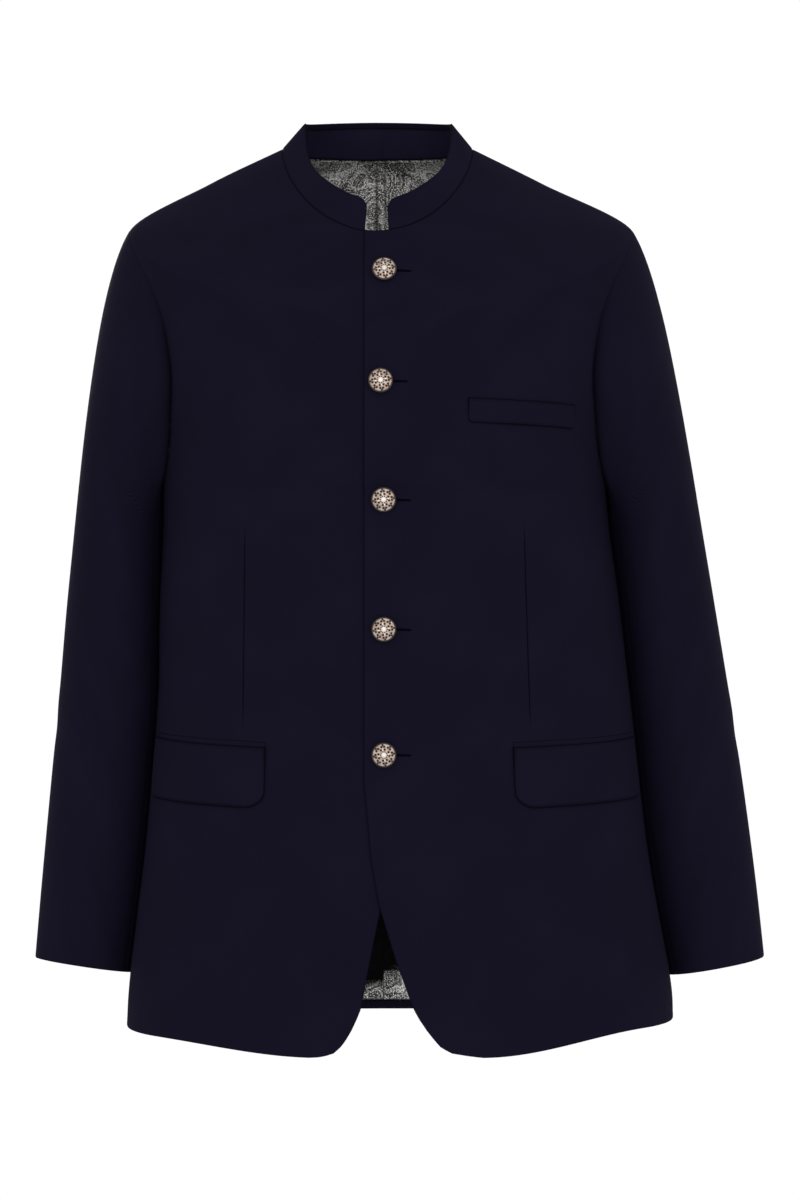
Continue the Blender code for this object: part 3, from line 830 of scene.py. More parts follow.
@dataclass(frozen=True)
class SilkTwist:
    """Silk twist: a tight, dull two-ply thread, so that only its plies catch a little light beside the cloth."""

    name: str
    colour: str
    ply_mm: float = 0.35
    hollow: float = 0.6         # brightness of the painted shade in the grooves between its plies

    def make(self) -> bpy.types.Material:
        """Builds the material.

        Returns:
            The material.
        """
        material, tree, shader = blank(self.name)
        place = add(tree, "ShaderNodeTexCoord").outputs["Object"]
        ply = add(tree, "ShaderNodeTexWave", {"bands_direction": "DIAGONAL"}, {
            "Vector": place, "Scale": math.tau / 20.0 / (self.ply_mm * MM), "Distortion": 0.4,
        })
        tone = stops(
            add(tree, "ShaderNodeValToRGB", {}, {"Fac": ply.outputs["Fac"]}),
            (0.2, tuple(self.hollow * c for c in linear(self.colour)[:3]) + (1.0,)), (0.8, linear(self.colour)),
        )
        bump = add(tree, "ShaderNodeBump", {}, {"Height": ply.outputs["Fac"], "Strength": 0.5, "Distance": 0.0001})
        wire(tree, shader, {"Base Color": tone, "Normal": bump, "Roughness": 0.8, "Specular IOR Level": 0.02})
        return material


class Side(Enum):
    """The wearer's side that a piece is on."""

    LEFT = 1
    RIGHT = -1

    @property
    def word(self) -> str:
        """The side's name in a piece's name."""
        return self.name.lower()


@dataclass
class Finishes:
    """The materials that the jacket is made of."""

    suiting: bpy.types.Material = field(default_factory=lambda: Worsted().make())
    # the same worsted painted a shade lighter, as painted light for the inside of the stand, where little light reaches
    band: bpy.types.Material = field(default_factory=lambda: Worsted("band_suiting_painted_lighter", "181523", "1f1d31").make())
    lining: bpy.types.Material = field(default_factory=lambda: FiguredLining().make())
    brass: bpy.types.Material = field(default_factory=lambda: RoseBrass().make())
    twist: bpy.types.Material = field(default_factory=lambda: SilkTwist("buttonhole_twist", "05040f").make())
    silk: bpy.types.Material = field(default_factory=lambda: SilkTwist("lining_silk", "55555a", 0.3).make())


def edge_distance(grid: np.ndarray) -> np.ndarray:
    """Distance of each point of a grid from the nearest of its four edges, along its rows and columns, in mm."""
    across, along = runs(grid)
    return np.minimum(np.minimum(across, across[:, -1:] - across), np.minimum(along, along[-1:] - along))


def rolled(grid: np.ndarray) -> np.ndarray:
    """How far each point of a grid rolls down towards its edges, in mm."""
    return CUT.roll * (1.0 - np.minimum(edge_distance(grid) / CUT.roll_width, 1.0)) ** 2


def mark(obj: bpy.types.Object, name: str, values: np.ndarray) -> None:
    """Stores a named value for each point of a mesh.

    Args:
        obj: a wall, or another object.
        name: the attribute's name.
        values: a value for each point, or for each point of a wall's face, whose other face then gets the same.
    """
    layer = obj.data.attributes.new(name=name, type="FLOAT", domain="POINT")
    layer.data.foreach_set("value", np.resize(values, len(obj.data.vertices)).astype(np.float32))


def lay(points: np.ndarray, normals: np.ndarray, out: np.ndarray | float) -> np.ndarray:
    """Points moved out along their normals, in mm."""
    return points + normals * np.broadcast_to(out, points.shape[:-1])[..., None]


def folded(folds: tuple[Fold, ...], a: np.ndarray, b: np.ndarray) -> np.ndarray:
    """What all the folds of a piece add up to at its points, in mm."""
    return sum((fold.lift(a, b) for fold in folds), np.zeros(a.shape))


def seam_shade(grid: np.ndarray, width: float = 0.55, strength: float = 0.8) -> np.ndarray:
    """Painted shade beside a grid's edges, where the cloth turns into a seam: how dark it is drawn there."""
    return strength * bell(edge_distance(grid) / width)


def armhole_shade(away: np.ndarray, z: np.ndarray, soft: float) -> np.ndarray:
    """Painted shade beside the armhole's seam: how dark the cloth is drawn there, deepening from the shoulder down.

    Args:
        away: distances from the seam, in mm.
        z: heights.
        soft: the shade's width.

    Returns:
        The shade, from 0 to 1.
    """
    wide, thin, ratio = CUT.shades
    dark = wide * bell(away / soft) + thin * bell(ratio * away / soft)
    return dark * ramp((CUT.shade_head - z) / CUT.shade_run)


@dataclass
class Piece:
    """A built piece of the jacket, and the grid of points of its face, in mm."""

    obj: bpy.types.Object
    face: np.ndarray

    def sheet(self, node: str, held: str, rests_on: tuple[str, ...] = (), slot: str = "suiting") -> "Piece":
        """Args:
            node: the solid's node, or nothing for trim that has none.
            held: how the cloth is held; not used.
            rests_on: the pieces that it lies on; not used.
            slot: its material slot; not used.

        Returns:
            The piece.
        """
        declare(self.obj, (node,) if node else ())
        declare_sheet(self.obj, self.face)
        return self


def body_panel(
    name: str, at: tuple[np.ndarray, np.ndarray], faces: tuple[np.ndarray, np.ndarray], finishes: Finishes,
    facing: np.ndarray | bool, shade: np.ndarray,
) -> Piece:
    """Makes a front or a back, with suiting inside its hem and armhole, and painted shade along the armhole.

    Args:
        name: the piece's name.
        at: the levels and the points of its plain form.
        faces: its outer and its inner points.
        finishes: the materials.
        facing: where else suiting shows inside.
        shade: the painted shade along its other lines.

    Returns:
        The piece.
    """
    level, plain = at
    from_end = apart(plain, plain[:, -1:])
    in_armhole = level > BODY.armhole[0][0] - 0.1
    facing = facing | (level < BODY.turnup) | (in_armhole & (from_end < CUT.allowance))
    obj = wall(name, *faces, (finishes.suiting, finishes.lining), facing)
    mark(obj, "seam", np.maximum(shade, in_armhole * armhole_shade(from_end, plain[..., 2], CUT.shade_line)))
    return Piece(obj, faces[0])


@dataclass
class FrontPanel:
    """One front: its free edge, waist dart, and the armhole, shoulder and neckline that it is sewn at."""

    side: Side
    edge: tuple[tuple[float, float], ...]      # z, x of the free edge
    dart: tuple[tuple[float, float], ...]      # z, x of the waist dart
    folds: tuple[Fold, ...]
    step: float = 4.5
    edge_step: float = 4.5
    facing: float = 78.0        # width of suiting inside the free edge
    widths: tuple[float, float] = (133.0, 134.0)    # nominal, from the free edge to the dart and on to the end
    dart_near: tuple[float, ...] = (0.22, 0.5, 0.95, 1.8)   # distances from the dart that get a column of their own
    dart_top: float = 6.0       # this far above the dart its column keeps its share of the width
    dart_taper: float = 26.0    # length over which the dart fades at either end
    dart_depth: float = 0.75
    dart_width: float = 0.55
    dart_hollow: tuple[float, float] = (0.35, 9.0)  # depth and width of the soft hollow about it
    dart_shade: tuple[float, float] = (0.75, 0.5)   # strength and width of the painted shade in it
    dart_clear: float = 30.0    # folds fade out this far from it

    def free_edge(self, levels: np.ndarray) -> np.ndarray:
        """Finds the free edge.

        Args:
            levels: the rows.

        Returns:
            The edge's angle in each row, in degrees.
        """
        heights, xs = zip(*self.edge)
        angle = np.zeros(levels.shape)
        for _ in range(6):
            angle = BODY.angle_at_x(np.interp(BODY.surface(angle, levels)[..., 2], heights, xs), levels)
        return angle

    def angles(self, levels: np.ndarray, ends: np.ndarray) -> tuple[np.ndarray, int]:
        """Angles of the grid's columns at each level.

        Args:
            levels: the rows.
            ends: the angle from the centre front where each row ends.

        Returns:
            Angles, rows by columns, and the number of the dart's column.
        """
        start = self.free_edge(levels)
        end = self.side.value * ends
        end = end - self.side.value * half_seam(BODY.surface, end, levels)
        heights, xs = zip(*self.dart)
        z = BODY.surface(start, levels)[..., 2]
        share = (BODY.angle_at_x(np.interp(z, heights, xs), levels) - start) / (end - start)
        top = int(np.argmax(z > heights[-1] + self.dart_top))
        share[top:] = share[top]
        share = share[:, None]
        before = shares(self.widths[0], self.edge_step, last=self.dart_near)
        after = shares(self.widths[1], self.step, self.dart_near, (0.5, 1.6))
        columns = np.concatenate([before[None, :] * share, share + after[None, 1:] * (1.0 - share)], axis=1)
        return start[:, None] + (end - start)[:, None] * columns, len(before) - 1

    def build(self, finishes: Finishes) -> Piece:
        """Builds the front.

        Args:
            finishes: the materials.

        Returns:
            The piece.
        """
        levels, ends, _ = BODY.panel_rows()
        angle, dart_column = self.angles(levels, ends)
        level, plain, normals = BODY.grid(angle, levels)
        x, z = plain[..., 0], plain[..., 2]
        sunk = (CUT.cloth + CUT.under) * lapped(x) if self.side is Side.RIGHT else np.zeros(x.shape)
        foot, head = self.dart[0][0], self.dart[-1][0]
        open_here = ramp((z - foot) / self.dart_taper) * ramp((head - z) / self.dart_taper)
        beside = apart(plain, plain[:, dart_column:dart_column + 1])
        (hollow, hollow_width), (dark, dark_width) = self.dart_hollow, self.dart_shade
        valley = open_here * (self.dart_depth * bell(beside / self.dart_width) + hollow * bell(beside / hollow_width))
        lift = folded(self.folds, x, z) * ramp(beside / self.dart_clear + 1.0 - open_here)
        face = lay(plain, normals, lift - sunk - valley - rolled(plain))
        other = lay(plain, normals, lift - sunk - CUT.cloth)
        facing = apart(plain, plain[:, :1]) < self.facing
        # painted shade along the edges and in the open dart
        shade = np.maximum(seam_shade(plain), dark * open_here * bell(beside / dark_width))
        return body_panel(f"{self.side.word}_front", (level, plain), (face, other), finishes, facing, shade)


@dataclass
class BackPanel:
    """One back, from the centre seam to the side seam and the armhole."""

    side: Side
    folds: tuple[Fold, ...]
    step: float = 5.0
    seam_clear: float = 14.0    # folds fade out this far from the centre seam

    def build(self, finishes: Finishes) -> Piece:
        """Builds the back.

        Args:
            finishes: the materials.

        Returns:
            The piece.
        """
        levels, _, ends = BODY.panel_rows()
        side = self.side.value
        start = 180.0 - half_seam(BODY.surface, 180.0, levels)
        end = 180.0 - ends + half_seam(BODY.surface, side * (180.0 - ends), levels)
        angle = side * (start[:, None] + (end - start)[:, None] * shares(BACK_WIDTH, self.step)[None, :])
        level, plain, normals = BODY.grid(angle, levels)
        lift = folded(self.folds, plain[..., 0], plain[..., 2]) * ramp(apart(plain, plain[:, :1]) / self.seam_clear)
        faces = lay(plain, normals, lift - rolled(plain)), lay(plain, normals, np.minimum(lift, 0.0) - CUT.cloth)
        return body_panel(f"{self.side.word}_back", (level, plain), faces, finishes, False, seam_shade(plain))


@dataclass
class Sleeve:
    """A set-in sleeve of an upper and an under piece, from the armhole's seam to the cuff."""

    side: Side
    # z at the outer and at the inner side, x of the outer side, y of the middle, depth
    table: tuple[tuple[float, ...], ...]
    folds: tuple[Fold, ...]                    # a runs round the sleeve from its front, b is the height
    clear: float = -0.4        # below 0 the arm is pressed to the side
    tuck: float = 0.9          # how far the head is pushed under the armhole's edge
    roundness: float = 2.25
    head_pull: float = 0.57
    front_seam_level: float = 5.18
    hind_seam_level: float = 5.75
    step: float = 4.6
    turnup: float = 38.0
    cuff_rise: float = 3.2      # how much higher the cuff's front is cut than its sides
    hole_rows: int = 141        # points of each half of the armhole's loop
    head_rows: tuple[float, ...] = (0.0, 0.0025, 0.008, 0.018, 0.032, *np.linspace(0.05, 0.985, 46))
    arm_length: float = 380.0   # nominal length below the head
    per_degree: float = 1.15    # nominal width for each degree round the sleeve
    seam_clear: float = 16.0    # folds fade out this far from the seams
    shade_line: float = 9.0     # width of the painted shade below the armhole
    rings: np.ndarray = field(init=False)
    turns: np.ndarray = field(init=False)
    loop: np.ndarray = field(init=False)
    seams: tuple[float, float] = field(init=False)

    # directions away from the armhole at its top, beside it and under the arm, and how far its sides lean
    HEADINGS = ((0.55, 0.0, -0.84), (0.85, 0.0, -0.5), (0.45, 0.0, -0.9))
    LEAN = -0.1
    PROBE = 0.02            # rows to either side of a point whose direction is taken
    TUCKED = 0.06           # share of the head that lies flat under the armhole's edge
    ROUNDS = 4              # of moving a ring's inner side clear of the body

    def __post_init__(self) -> None:
        """Works out the sleeve's rings and the armhole's loop."""
        side = self.side.value
        self.rings = np.array([
            (z_outer, z_inner, x_outer, self.inner_side(z_inner, x_outer, y_mid, depth), y_mid, depth)
            for z_outer, z_inner, x_outer, y_mid, depth in self.table
        ])
        knots = np.array(BODY.armhole)
        hole = through(knots, np.linspace(len(knots) - 1.0, 0.0, self.hole_rows))
        halves, turns = [], []
        for angle, turn in ((side * hole[:, 1], 1.0), (side * (180.0 - hole[:, 2]), -1.0)):
            points = BODY.surface(angle, hole[:, 0])
            normals = BODY.normal(angle, hole[:, 0])
            away = unit(np.cross(-np.gradient(points, axis=0), normals) * side * turn)
            run = np.concatenate([[0.0], np.cumsum(apart(points[1:], points[:-1]))])
            halves.append(np.concatenate([points, normals, away], axis=1))
            turns.append(180.0 * run / run[-1])
        front_seam = float(np.interp(-self.front_seam_level, -hole[:, 0], turns[0]))
        hind_seam = 360.0 - float(np.interp(-self.hind_seam_level, -hole[:, 0], turns[1]))
        shared = (halves[0][[0, -1]] + halves[1][[0, -1]]) / 2.0
        halves[0][[0, -1]] = halves[1][[0, -1]] = shared
        self.turns = np.concatenate([turns[0], 360.0 - turns[1][-2::-1]])
        self.loop = np.concatenate([halves[0], halves[1][-2::-1]])
        self.seams = (front_seam, hind_seam)

    def inner_side(self, z: float, x_outer: float, y_mid: float, depth: float) -> float:
        """Finds a ring's inner side, so that the whole ring stays clear of the body.

        Args:
            z: the ring's height there, in mm.
            x_outer: x of its outer side.
            y_mid: y of its middle.
            depth: its depth from front to back.

        Returns:
            x of its inner side, in mm.
        """
        ring = BODY.ring(BODY.level_at(90.0, z))
        x_mid, half, y_front, y_back, roundness = ring[3], ring[4], ring[5], ring[7], ring[8]
        y = np.linspace(y_mid - depth / 2.0 + 1.0, y_mid + depth / 2.0 - 1.0, 25)
        body_share = np.minimum(np.abs(y / np.where(y > 0, y_back, y_front)), 1.0)
        body_x = half * (1.0 - body_share ** roundness) ** (1.0 / roundness)
        ring_share = np.abs(y - y_mid) / (depth / 2.0)
        inner = x_mid + self.side.value * half
        for _ in range(self.ROUNDS):
            recede = abs(x_outer - inner) / 2.0 * (1.0 - (1.0 - ring_share ** self.roundness) ** (1.0 / self.roundness))
            inner = x_mid + self.side.value * (max(float((body_x - recede).max()), 0.0) + self.clear)
        return float(inner)

    def seam(self, turn: np.ndarray) -> tuple[np.ndarray, np.ndarray, np.ndarray]:
        """Looks up the armhole's seam.

        Args:
            turn: degrees round the sleeve.

        Returns:
            The armhole's points, the body's normals there, and the directions away from the panels.
        """
        at = np.mod(turn, 360.0)
        data = np.stack([np.interp(at, self.turns, self.loop[:, k]) for k in range(9)], axis=-1)
        return data[..., :3], data[..., 3:6], data[..., 6:]

    def ring(self, turn: np.ndarray, at: np.ndarray) -> np.ndarray:
        """Points of the sleeve below its head.

        Args:
            turn: degrees round the sleeve.
            at: row numbers of the table, which may be fractions.

        Returns:
            Points in mm.
        """
        z_outer, z_inner, x_outer, x_inner, y_mid, depth = np.moveaxis(through(self.rings, at), -1, 0)
        a = np.radians(turn)
        across, ahead = bent(np.cos(a), 2.0 / self.roundness), bent(np.sin(a), 2.0 / self.roundness)
        rise = self.cuff_rise * ramp(at - (len(self.rings) - 2.0)) * np.maximum(ahead, 0.0)
        return np.stack([
            (x_outer + x_inner) / 2.0 + (x_outer - x_inner) / 2.0 * across,
            y_mid - depth / 2.0 * ahead,
            (z_outer + z_inner) / 2.0 + (z_outer - z_inner) / 2.0 * across + rise,
        ], axis=-1)

    def point(self, turn: np.ndarray, v: np.ndarray) -> np.ndarray:
        """Points of the sleeve's surface.

        Args:
            turn: degrees round the sleeve.
            v: 0 at the armhole, 1 below the head, and from there by rows of the table to the cuff.

        Returns:
            Points in mm.
        """
        turn, v = matched(turn, v)
        foot, normals, away = self.seam(turn)
        start = foot + normals * CUT.seam - away * self.tuck
        end = self.ring(turn, np.zeros(turn.shape))
        cos, sin = np.cos(np.radians(turn))[..., None], np.sin(np.radians(turn))[..., None]
        top, beside, under = (np.array(way) * (self.side.value, 1.0, 1.0) for way in self.HEADINGS)
        heading = (
            np.maximum(cos, 0.0) ** 2 * top
            + sin ** 2 * (beside + sin * np.array([0.0, self.LEAN, 0.0]))
            + np.maximum(-cos, 0.0) ** 2 * under
        )
        reach = np.linalg.norm(end - start, axis=-1, keepdims=True)
        first = unit(heading) * reach * self.head_pull
        last = unit(self.ring(turn, np.full(turn.shape, self.PROBE)) - end) * reach
        w = np.minimum(v, 1.0)[..., None]
        h = w * w * (3 - 2 * w)
        head = start * (1 - h) + end * h + first * w * (1 - w) ** 2 - last * w * w * (1 - w)
        return np.where(v[..., None] < 1.0, head, self.ring(turn, np.maximum(v - 1.0, 0.0)))

    def outward(self, turn: np.ndarray, v: np.ndarray) -> np.ndarray:
        """Directions out of the sleeve's hollow.

        Args:
            turn: degrees round the sleeve.
            v: where along it, as for its points.

        Returns:
            Unit vectors.
        """
        turn, v = matched(turn, v)
        along = self.point(turn + 1.0, v) - self.point(turn - 1.0, v)
        below, above = np.minimum(v + self.PROBE, len(self.rings)), np.maximum(v - self.PROBE, 0.0)
        down = self.point(turn, below) - self.point(turn, above)
        out = unit(np.cross(along, down) * self.side.value)
        _, _, away = self.seam(turn)
        over = np.maximum((out * away).sum(axis=-1, keepdims=True), 0.0) * (1.0 - ramp(v / self.TUCKED))[..., None]
        return unit(out - away * over)

    def rows(self) -> np.ndarray:
        """The rows of the sleeve's grid."""
        arm = 1.0 + shares(self.arm_length, self.step, (1.6,), (0.5, 1.6)) * (len(self.rings) - 1.0)
        return np.concatenate([self.head_rows, arm])

    def build(self, word: str, start: float, end: float, finishes: Finishes) -> Piece:
        """Builds one of the two pieces.

        Args:
            word: upper or under.
            start: the angle round the sleeve where the piece starts.
            end: the angle where it ends.
            finishes: the materials.

        Returns:
            The piece.
        """
        v = self.rows()
        first, last = start + half_seam(self.point, start, v), end - half_seam(self.point, end, v)
        columns = shares(abs(end - start) * self.per_degree, self.step)
        turn = first[:, None] + (last - first)[:, None] * columns[None, :]
        rows = np.broadcast_to(v[:, None], turn.shape)
        plain, out = self.point(turn, rows), self.outward(turn, rows)
        z = plain[..., 2]
        around = (np.mod(turn + 90.0, 360.0) - 180.0) * self.per_degree
        lift = folded(self.folds, around, z) * ramp(edge_distance(plain) / self.seam_clear)
        face = lay(plain, out, lift - rolled(plain))
        from_seam = apart(plain, plain[:1])
        facing = (z < self.rings[-1, 0] + self.turnup) | (from_seam < CUT.allowance)
        cloths = (finishes.suiting, finishes.lining)
        obj = wall(f"{self.side.word}_{word}_sleeve", face, lay(plain, out, lift - CUT.cloth), cloths, facing)
        # painted shade along the piece's edges and below the armhole
        mark(obj, "seam", np.maximum(seam_shade(plain, 0.5, 0.45), armhole_shade(from_seam, z, self.shade_line)))
        return Piece(obj, face)

    def pieces(self, finishes: Finishes) -> tuple[Piece, Piece]:
        """Builds the upper and the under piece."""
        front, hind = self.seams
        return self.build("upper", hind - 360.0, front, finishes), self.build("under", front, hind, finishes)


@dataclass
class Collar:
    """The stand collar: an interlined outer stand and a lower inner band, open at the throat."""

    # the same nine sizes as a level of the body, for the top edge
    top: tuple[float, ...] = (-55, 22.5, 36, -3.8, 63.5, -81, -8, 62, 2.05)
    dip: float = 92.0           # extra fall of the top edge where it turns from the sides to the front
    dip_start: float = 1.2
    dip_fade: float = 2.0
    end_right: float = -12.0
    end_left: float = 4.0
    corner: float = 9.0
    away: float = 0.12          # space between the neckline's edge and the stand's foot
    band: tuple[float, float] = (0.05, 0.86)    # shares of the stand's height where the inner band starts and ends
    tuck: tuple[float, float, float] = (0.11, 40.0, 25.0)   # how much lower it starts behind, and over which degrees
    height: float = 40.0        # nominal
    rows: int = 19
    steps: tuple[float, float] = (3.0, 2.8)     # from column to column and from row to row
    near: tuple[float, ...] = (0.3, 0.8, 1.6, 2.6, 3.8, 5.2, 6.9, 9.0)  # columns of the rounded corners

    def surface(self, angle: np.ndarray, share: np.ndarray) -> np.ndarray:
        """Points of the stand's outer face.

        Args:
            angle: degrees from the centre front.
            share: 0 at the neckline, 1 at the top edge.

        Returns:
            Points in mm.
        """
        angle, share = matched(angle, share)
        neck = np.full(angle.shape, BODY.neck)
        foot = BODY.surface(angle, neck)
        off = unit(foot - BODY.surface(angle, neck - 0.05))
        under = np.where(np.sin(np.radians(angle)) < 0, lapped(foot[..., 0]), 0.0)
        raised = CUT.seam - (CUT.cloth + CUT.under) * under
        foot = foot + BODY.normal(angle, neck) * raised[..., None] + off * self.away
        top = BODY.on_ring(np.broadcast_to(np.array(self.top, float), angle.shape + (9,)), angle)
        ahead = np.maximum(np.cos(np.radians(angle)), 0.0)
        top[..., 2] -= self.dip * ahead ** self.dip_start * (1.0 - ahead) ** self.dip_fade
        return foot * (1.0 - share[..., None]) + top * share[..., None]

    def normal(self, angle: np.ndarray, share: np.ndarray) -> np.ndarray:
        """Outward normals of the stand.

        Args:
            angle: degrees from the centre front.
            share: 0 at the neckline, 1 at the top edge.

        Returns:
            Unit vectors.
        """
        along = self.surface(angle + 0.6, share) - self.surface(angle - 0.6, share)
        up = self.surface(angle, np.minimum(share + 0.05, 1.1)) - self.surface(angle, np.maximum(share - 0.05, -0.1))
        return unit(np.cross(along, up))

    def grid(self, foot: float, top: float) -> tuple[np.ndarray, np.ndarray]:
        """Lays out a band whose two top corners are rounded.

        Args:
            foot: share of the stand's height where the band starts.
            top: share where it ends.

        Returns:
            Angles and shares of its points.
        """
        u = (np.array([self.end_left, self.end_right]) - self.top[3]) / self.top[4]
        start, end = np.degrees(np.arcsin(bent(u, self.top[8] / 2.0))) + (0.0, 360.0)
        length = (end - start) / 360.0 * math.tau * (self.top[4] + abs(self.top[5])) / 2.0
        across = shares(length, self.steps[0], self.near)
        angle = np.broadcast_to((start + (end - start) * across)[None, :], (self.rows, len(across)))
        tall = apart(self.surface(angle[0], 1.0), self.surface(angle[0], 0.0))
        up = shares(self.height, self.steps[1], (0.4, 1.3))
        up = np.interp(np.linspace(0.0, len(up) - 1.0, self.rows), np.arange(len(up)), up)
        # behind the throat the band's foot is tucked just below the neckline
        from_front = 180.0 - np.abs(angle[:1] - 180.0)
        lower, first, over = self.tuck
        low = foot - (lower * ramp((from_front - first) / over) if foot > 0.0 else 0.0)
        return angle, low + (top - corner_cut(across, length, self.corner) / tall - low) * up[:, None]

    def build(self, finishes: Finishes) -> tuple[Piece, Piece]:
        """Builds the collar.

        Args:
            finishes: the materials.

        Returns:
            The outer stand and the inner band.
        """
        made = []
        for name, foot, top, deep, cloth, shade in (
            ("outer_stand", 0.0, 1.0, 0.0, finishes.suiting, (0.5, 0.6)),
            ("inner_band", *self.band, CUT.collar + CUT.under, finishes.band, (1.1, 0.95)),
        ):
            angle, share = self.grid(foot, top)
            plain, out = self.surface(angle, share), self.normal(angle, share)
            roll = rolled(plain)
            outs = (roll - deep - CUT.band, -deep) if deep else (-roll, 0.5 * roll - CUT.collar)
            face, other = (lay(plain, out, by) for by in outs)
            obj = wall(name, face, other, (cloth, cloth))
            # painted shade along each band's edges
            mark(obj, "seam", seam_shade(plain, *shade))
            made.append(Piece(obj, face))
        return made[0], made[1]


@dataclass
class BackLining:
    """The figured lining inside both backs, pleated at the centre, and the turned-up hem below it."""

    foot: float = 0.2
    head: float = 8.93
    pleat: tuple[float, float] = (-5.6, 1.6)    # x of the pleat's two folds at the neck
    pleat_depth: float = 0.75
    painted_shadow_foot: float = -737.5                  # z where the painted shadow on the lining starts above the hem
    painted_shadow_step: float = 8.5                     # how much lower that is on the wearer's right of the centre seam
    band_painted_shadow: float = 0.55                    # painted shadow that the stand casts on the lining just below it
    painted_shadow_head: float = -190.0                  # z where the painted shadow fades out below the throat
    pleat_foot: float = -330.0                  # the pleat is pressed flat into the centre seam down here
    painted_shadow_slope: float = 0.17                   # how much higher it is for each mm to the left
    painted_shadow_soft: tuple[float, float] = (8.0, 130.0)  # height over which the painted shadow grows below, and fades above
    dark: float = 0.995                         # strength of that painted shadow
    band_reach: float = 18.0                    # how far the stand's painted shadow reaches down from the neckline
    pleat_run: float = 260.0                    # height over which the pleat opens
    pleat_soft: float = 0.7                     # width of its folds
    seam_depth: float = 0.35                    # how far the centre seam sinks
    step: float = 5.5
    # levels of the rows: from the foot, first, last and step or number up to the arm and the neck, and from the head
    foot_rows: tuple[float, ...] = (0.0, 0.012, 0.04)
    skirt_rows: tuple[float, float, float] = (0.32, 4.95, 0.085)
    armhole_rows: tuple[float, float, int] = (4.95, 7.0, 44)
    yoke_rows: tuple[float, float, float] = (7.08, 8.85, 0.09)
    head_rows: tuple[float, ...] = (-0.03, -0.01, 0.0)
    hem_rows: tuple[float, ...] = (0.0, 0.011, 0.035, 0.09, 0.14, 0.165, 9.0 / 51.3)    # of the turned-up hem
    near: tuple[float, ...] = (0.35, 0.8, 1.6, 2.6, 3.8, 5.2, 7.0, 9.0, 12.0)           # columns at the middle

    def inside(self, levels: np.ndarray) -> tuple[np.ndarray, np.ndarray]:
        """Lays out a grid inside the backs, from left to right.

        Args:
            levels: the rows.

        Returns:
            Its points, in mm, and the directions into the hollow.
        """
        rows, _, ends = BODY.panel_rows()
        end = 180.0 - np.interp(levels, rows, ends)[:, None]
        half = shares(BACK_WIDTH, self.step, last=self.near)
        # the fine columns lie along the seam at the hem and along the pleat at the neck
        middle = np.interp(levels, (BODY.arm, BODY.neck - 1.0), (0.0, sum(self.pleat) / 2.0))
        middle = (180.0 - BODY.angle_at_x(middle, levels))[:, None]
        left = end + (middle - end) * half[None, :]
        right = 360.0 - end - (360.0 - end - middle) * half[None, -2::-1]
        _, plain, normals = BODY.grid(np.concatenate([left, right], axis=1), levels)
        return lay(plain, -normals, CUT.cloth + CUT.lining_ease), -normals

    def build(self, finishes: Finishes) -> tuple[Piece, Piece]:
        """Builds the lining and the turned-up hem.

        Args:
            finishes: the materials.

        Returns:
            The two pieces.
        """
        plain, inward = self.inside(np.concatenate([
            self.foot + np.array(self.foot_rows), np.arange(*self.skirt_rows), np.linspace(*self.armhole_rows),
            np.arange(*self.yoke_rows), self.head + np.array(self.head_rows),
        ]))
        x, z = plain[..., 0], plain[..., 2]
        spread = ramp((z - self.pleat_foot) / self.pleat_run)
        left, right = self.pleat[1] * spread + 0.3, self.pleat[0] * spread - 0.3
        soft = self.pleat_soft
        raised = spread * self.pleat_depth * ramp((x - right) / soft) * ramp((left - x) / soft)
        seam_line = bell(x / 0.8) * (1.0 - spread)
        face = lay(plain, inward, CUT.lining + raised - self.seam_depth * seam_line - rolled(plain))
        obj = wall("lining_of_back", face, lay(plain, inward, 0.0), (finishes.lining, finishes.lining))
        # painted shade in the pleat's folds and along the centre seam
        folds = spread * (bell((x - left) / soft) + bell((x - right) / 1.2))
        lines = np.maximum(seam_shade(plain, 0.6, 0.7), 0.85 * np.maximum(folds, seam_line))
        # painted shadow: the lining is drawn nearly black between what shows below the fronts and what shows in the
        # neck, where no light reaches
        lower = self.painted_shadow_step * ramp(0.5 - x / 2.0)
        grow, fade = self.painted_shadow_soft
        deep = ramp((z - self.painted_shadow_foot - self.painted_shadow_slope * x + lower) / grow) * ramp((self.painted_shadow_head - z) / fade)
        # painted shadow of the stand on the lining just below the neckline
        stand_painted_shadow = self.band_painted_shadow * ramp((z + self.band_reach) / self.band_reach)
        mark(obj, "seam", np.clip(np.maximum(np.maximum(lines, stand_painted_shadow), self.dark * deep), 0, 1))
        lining = Piece(obj, face)
        plain, inward = self.inside(np.array(self.hem_rows))
        face = lay(plain, inward, CUT.lining - 0.6 * rolled(plain))
        obj = wall("turned_hem", face, lay(plain, inward, 0.0), (finishes.suiting, finishes.suiting))
        # painted shade along the turned hem's edges
        mark(obj, "seam", seam_shade(plain, 0.5, 0.6))
        return lining, Piece(obj, face)


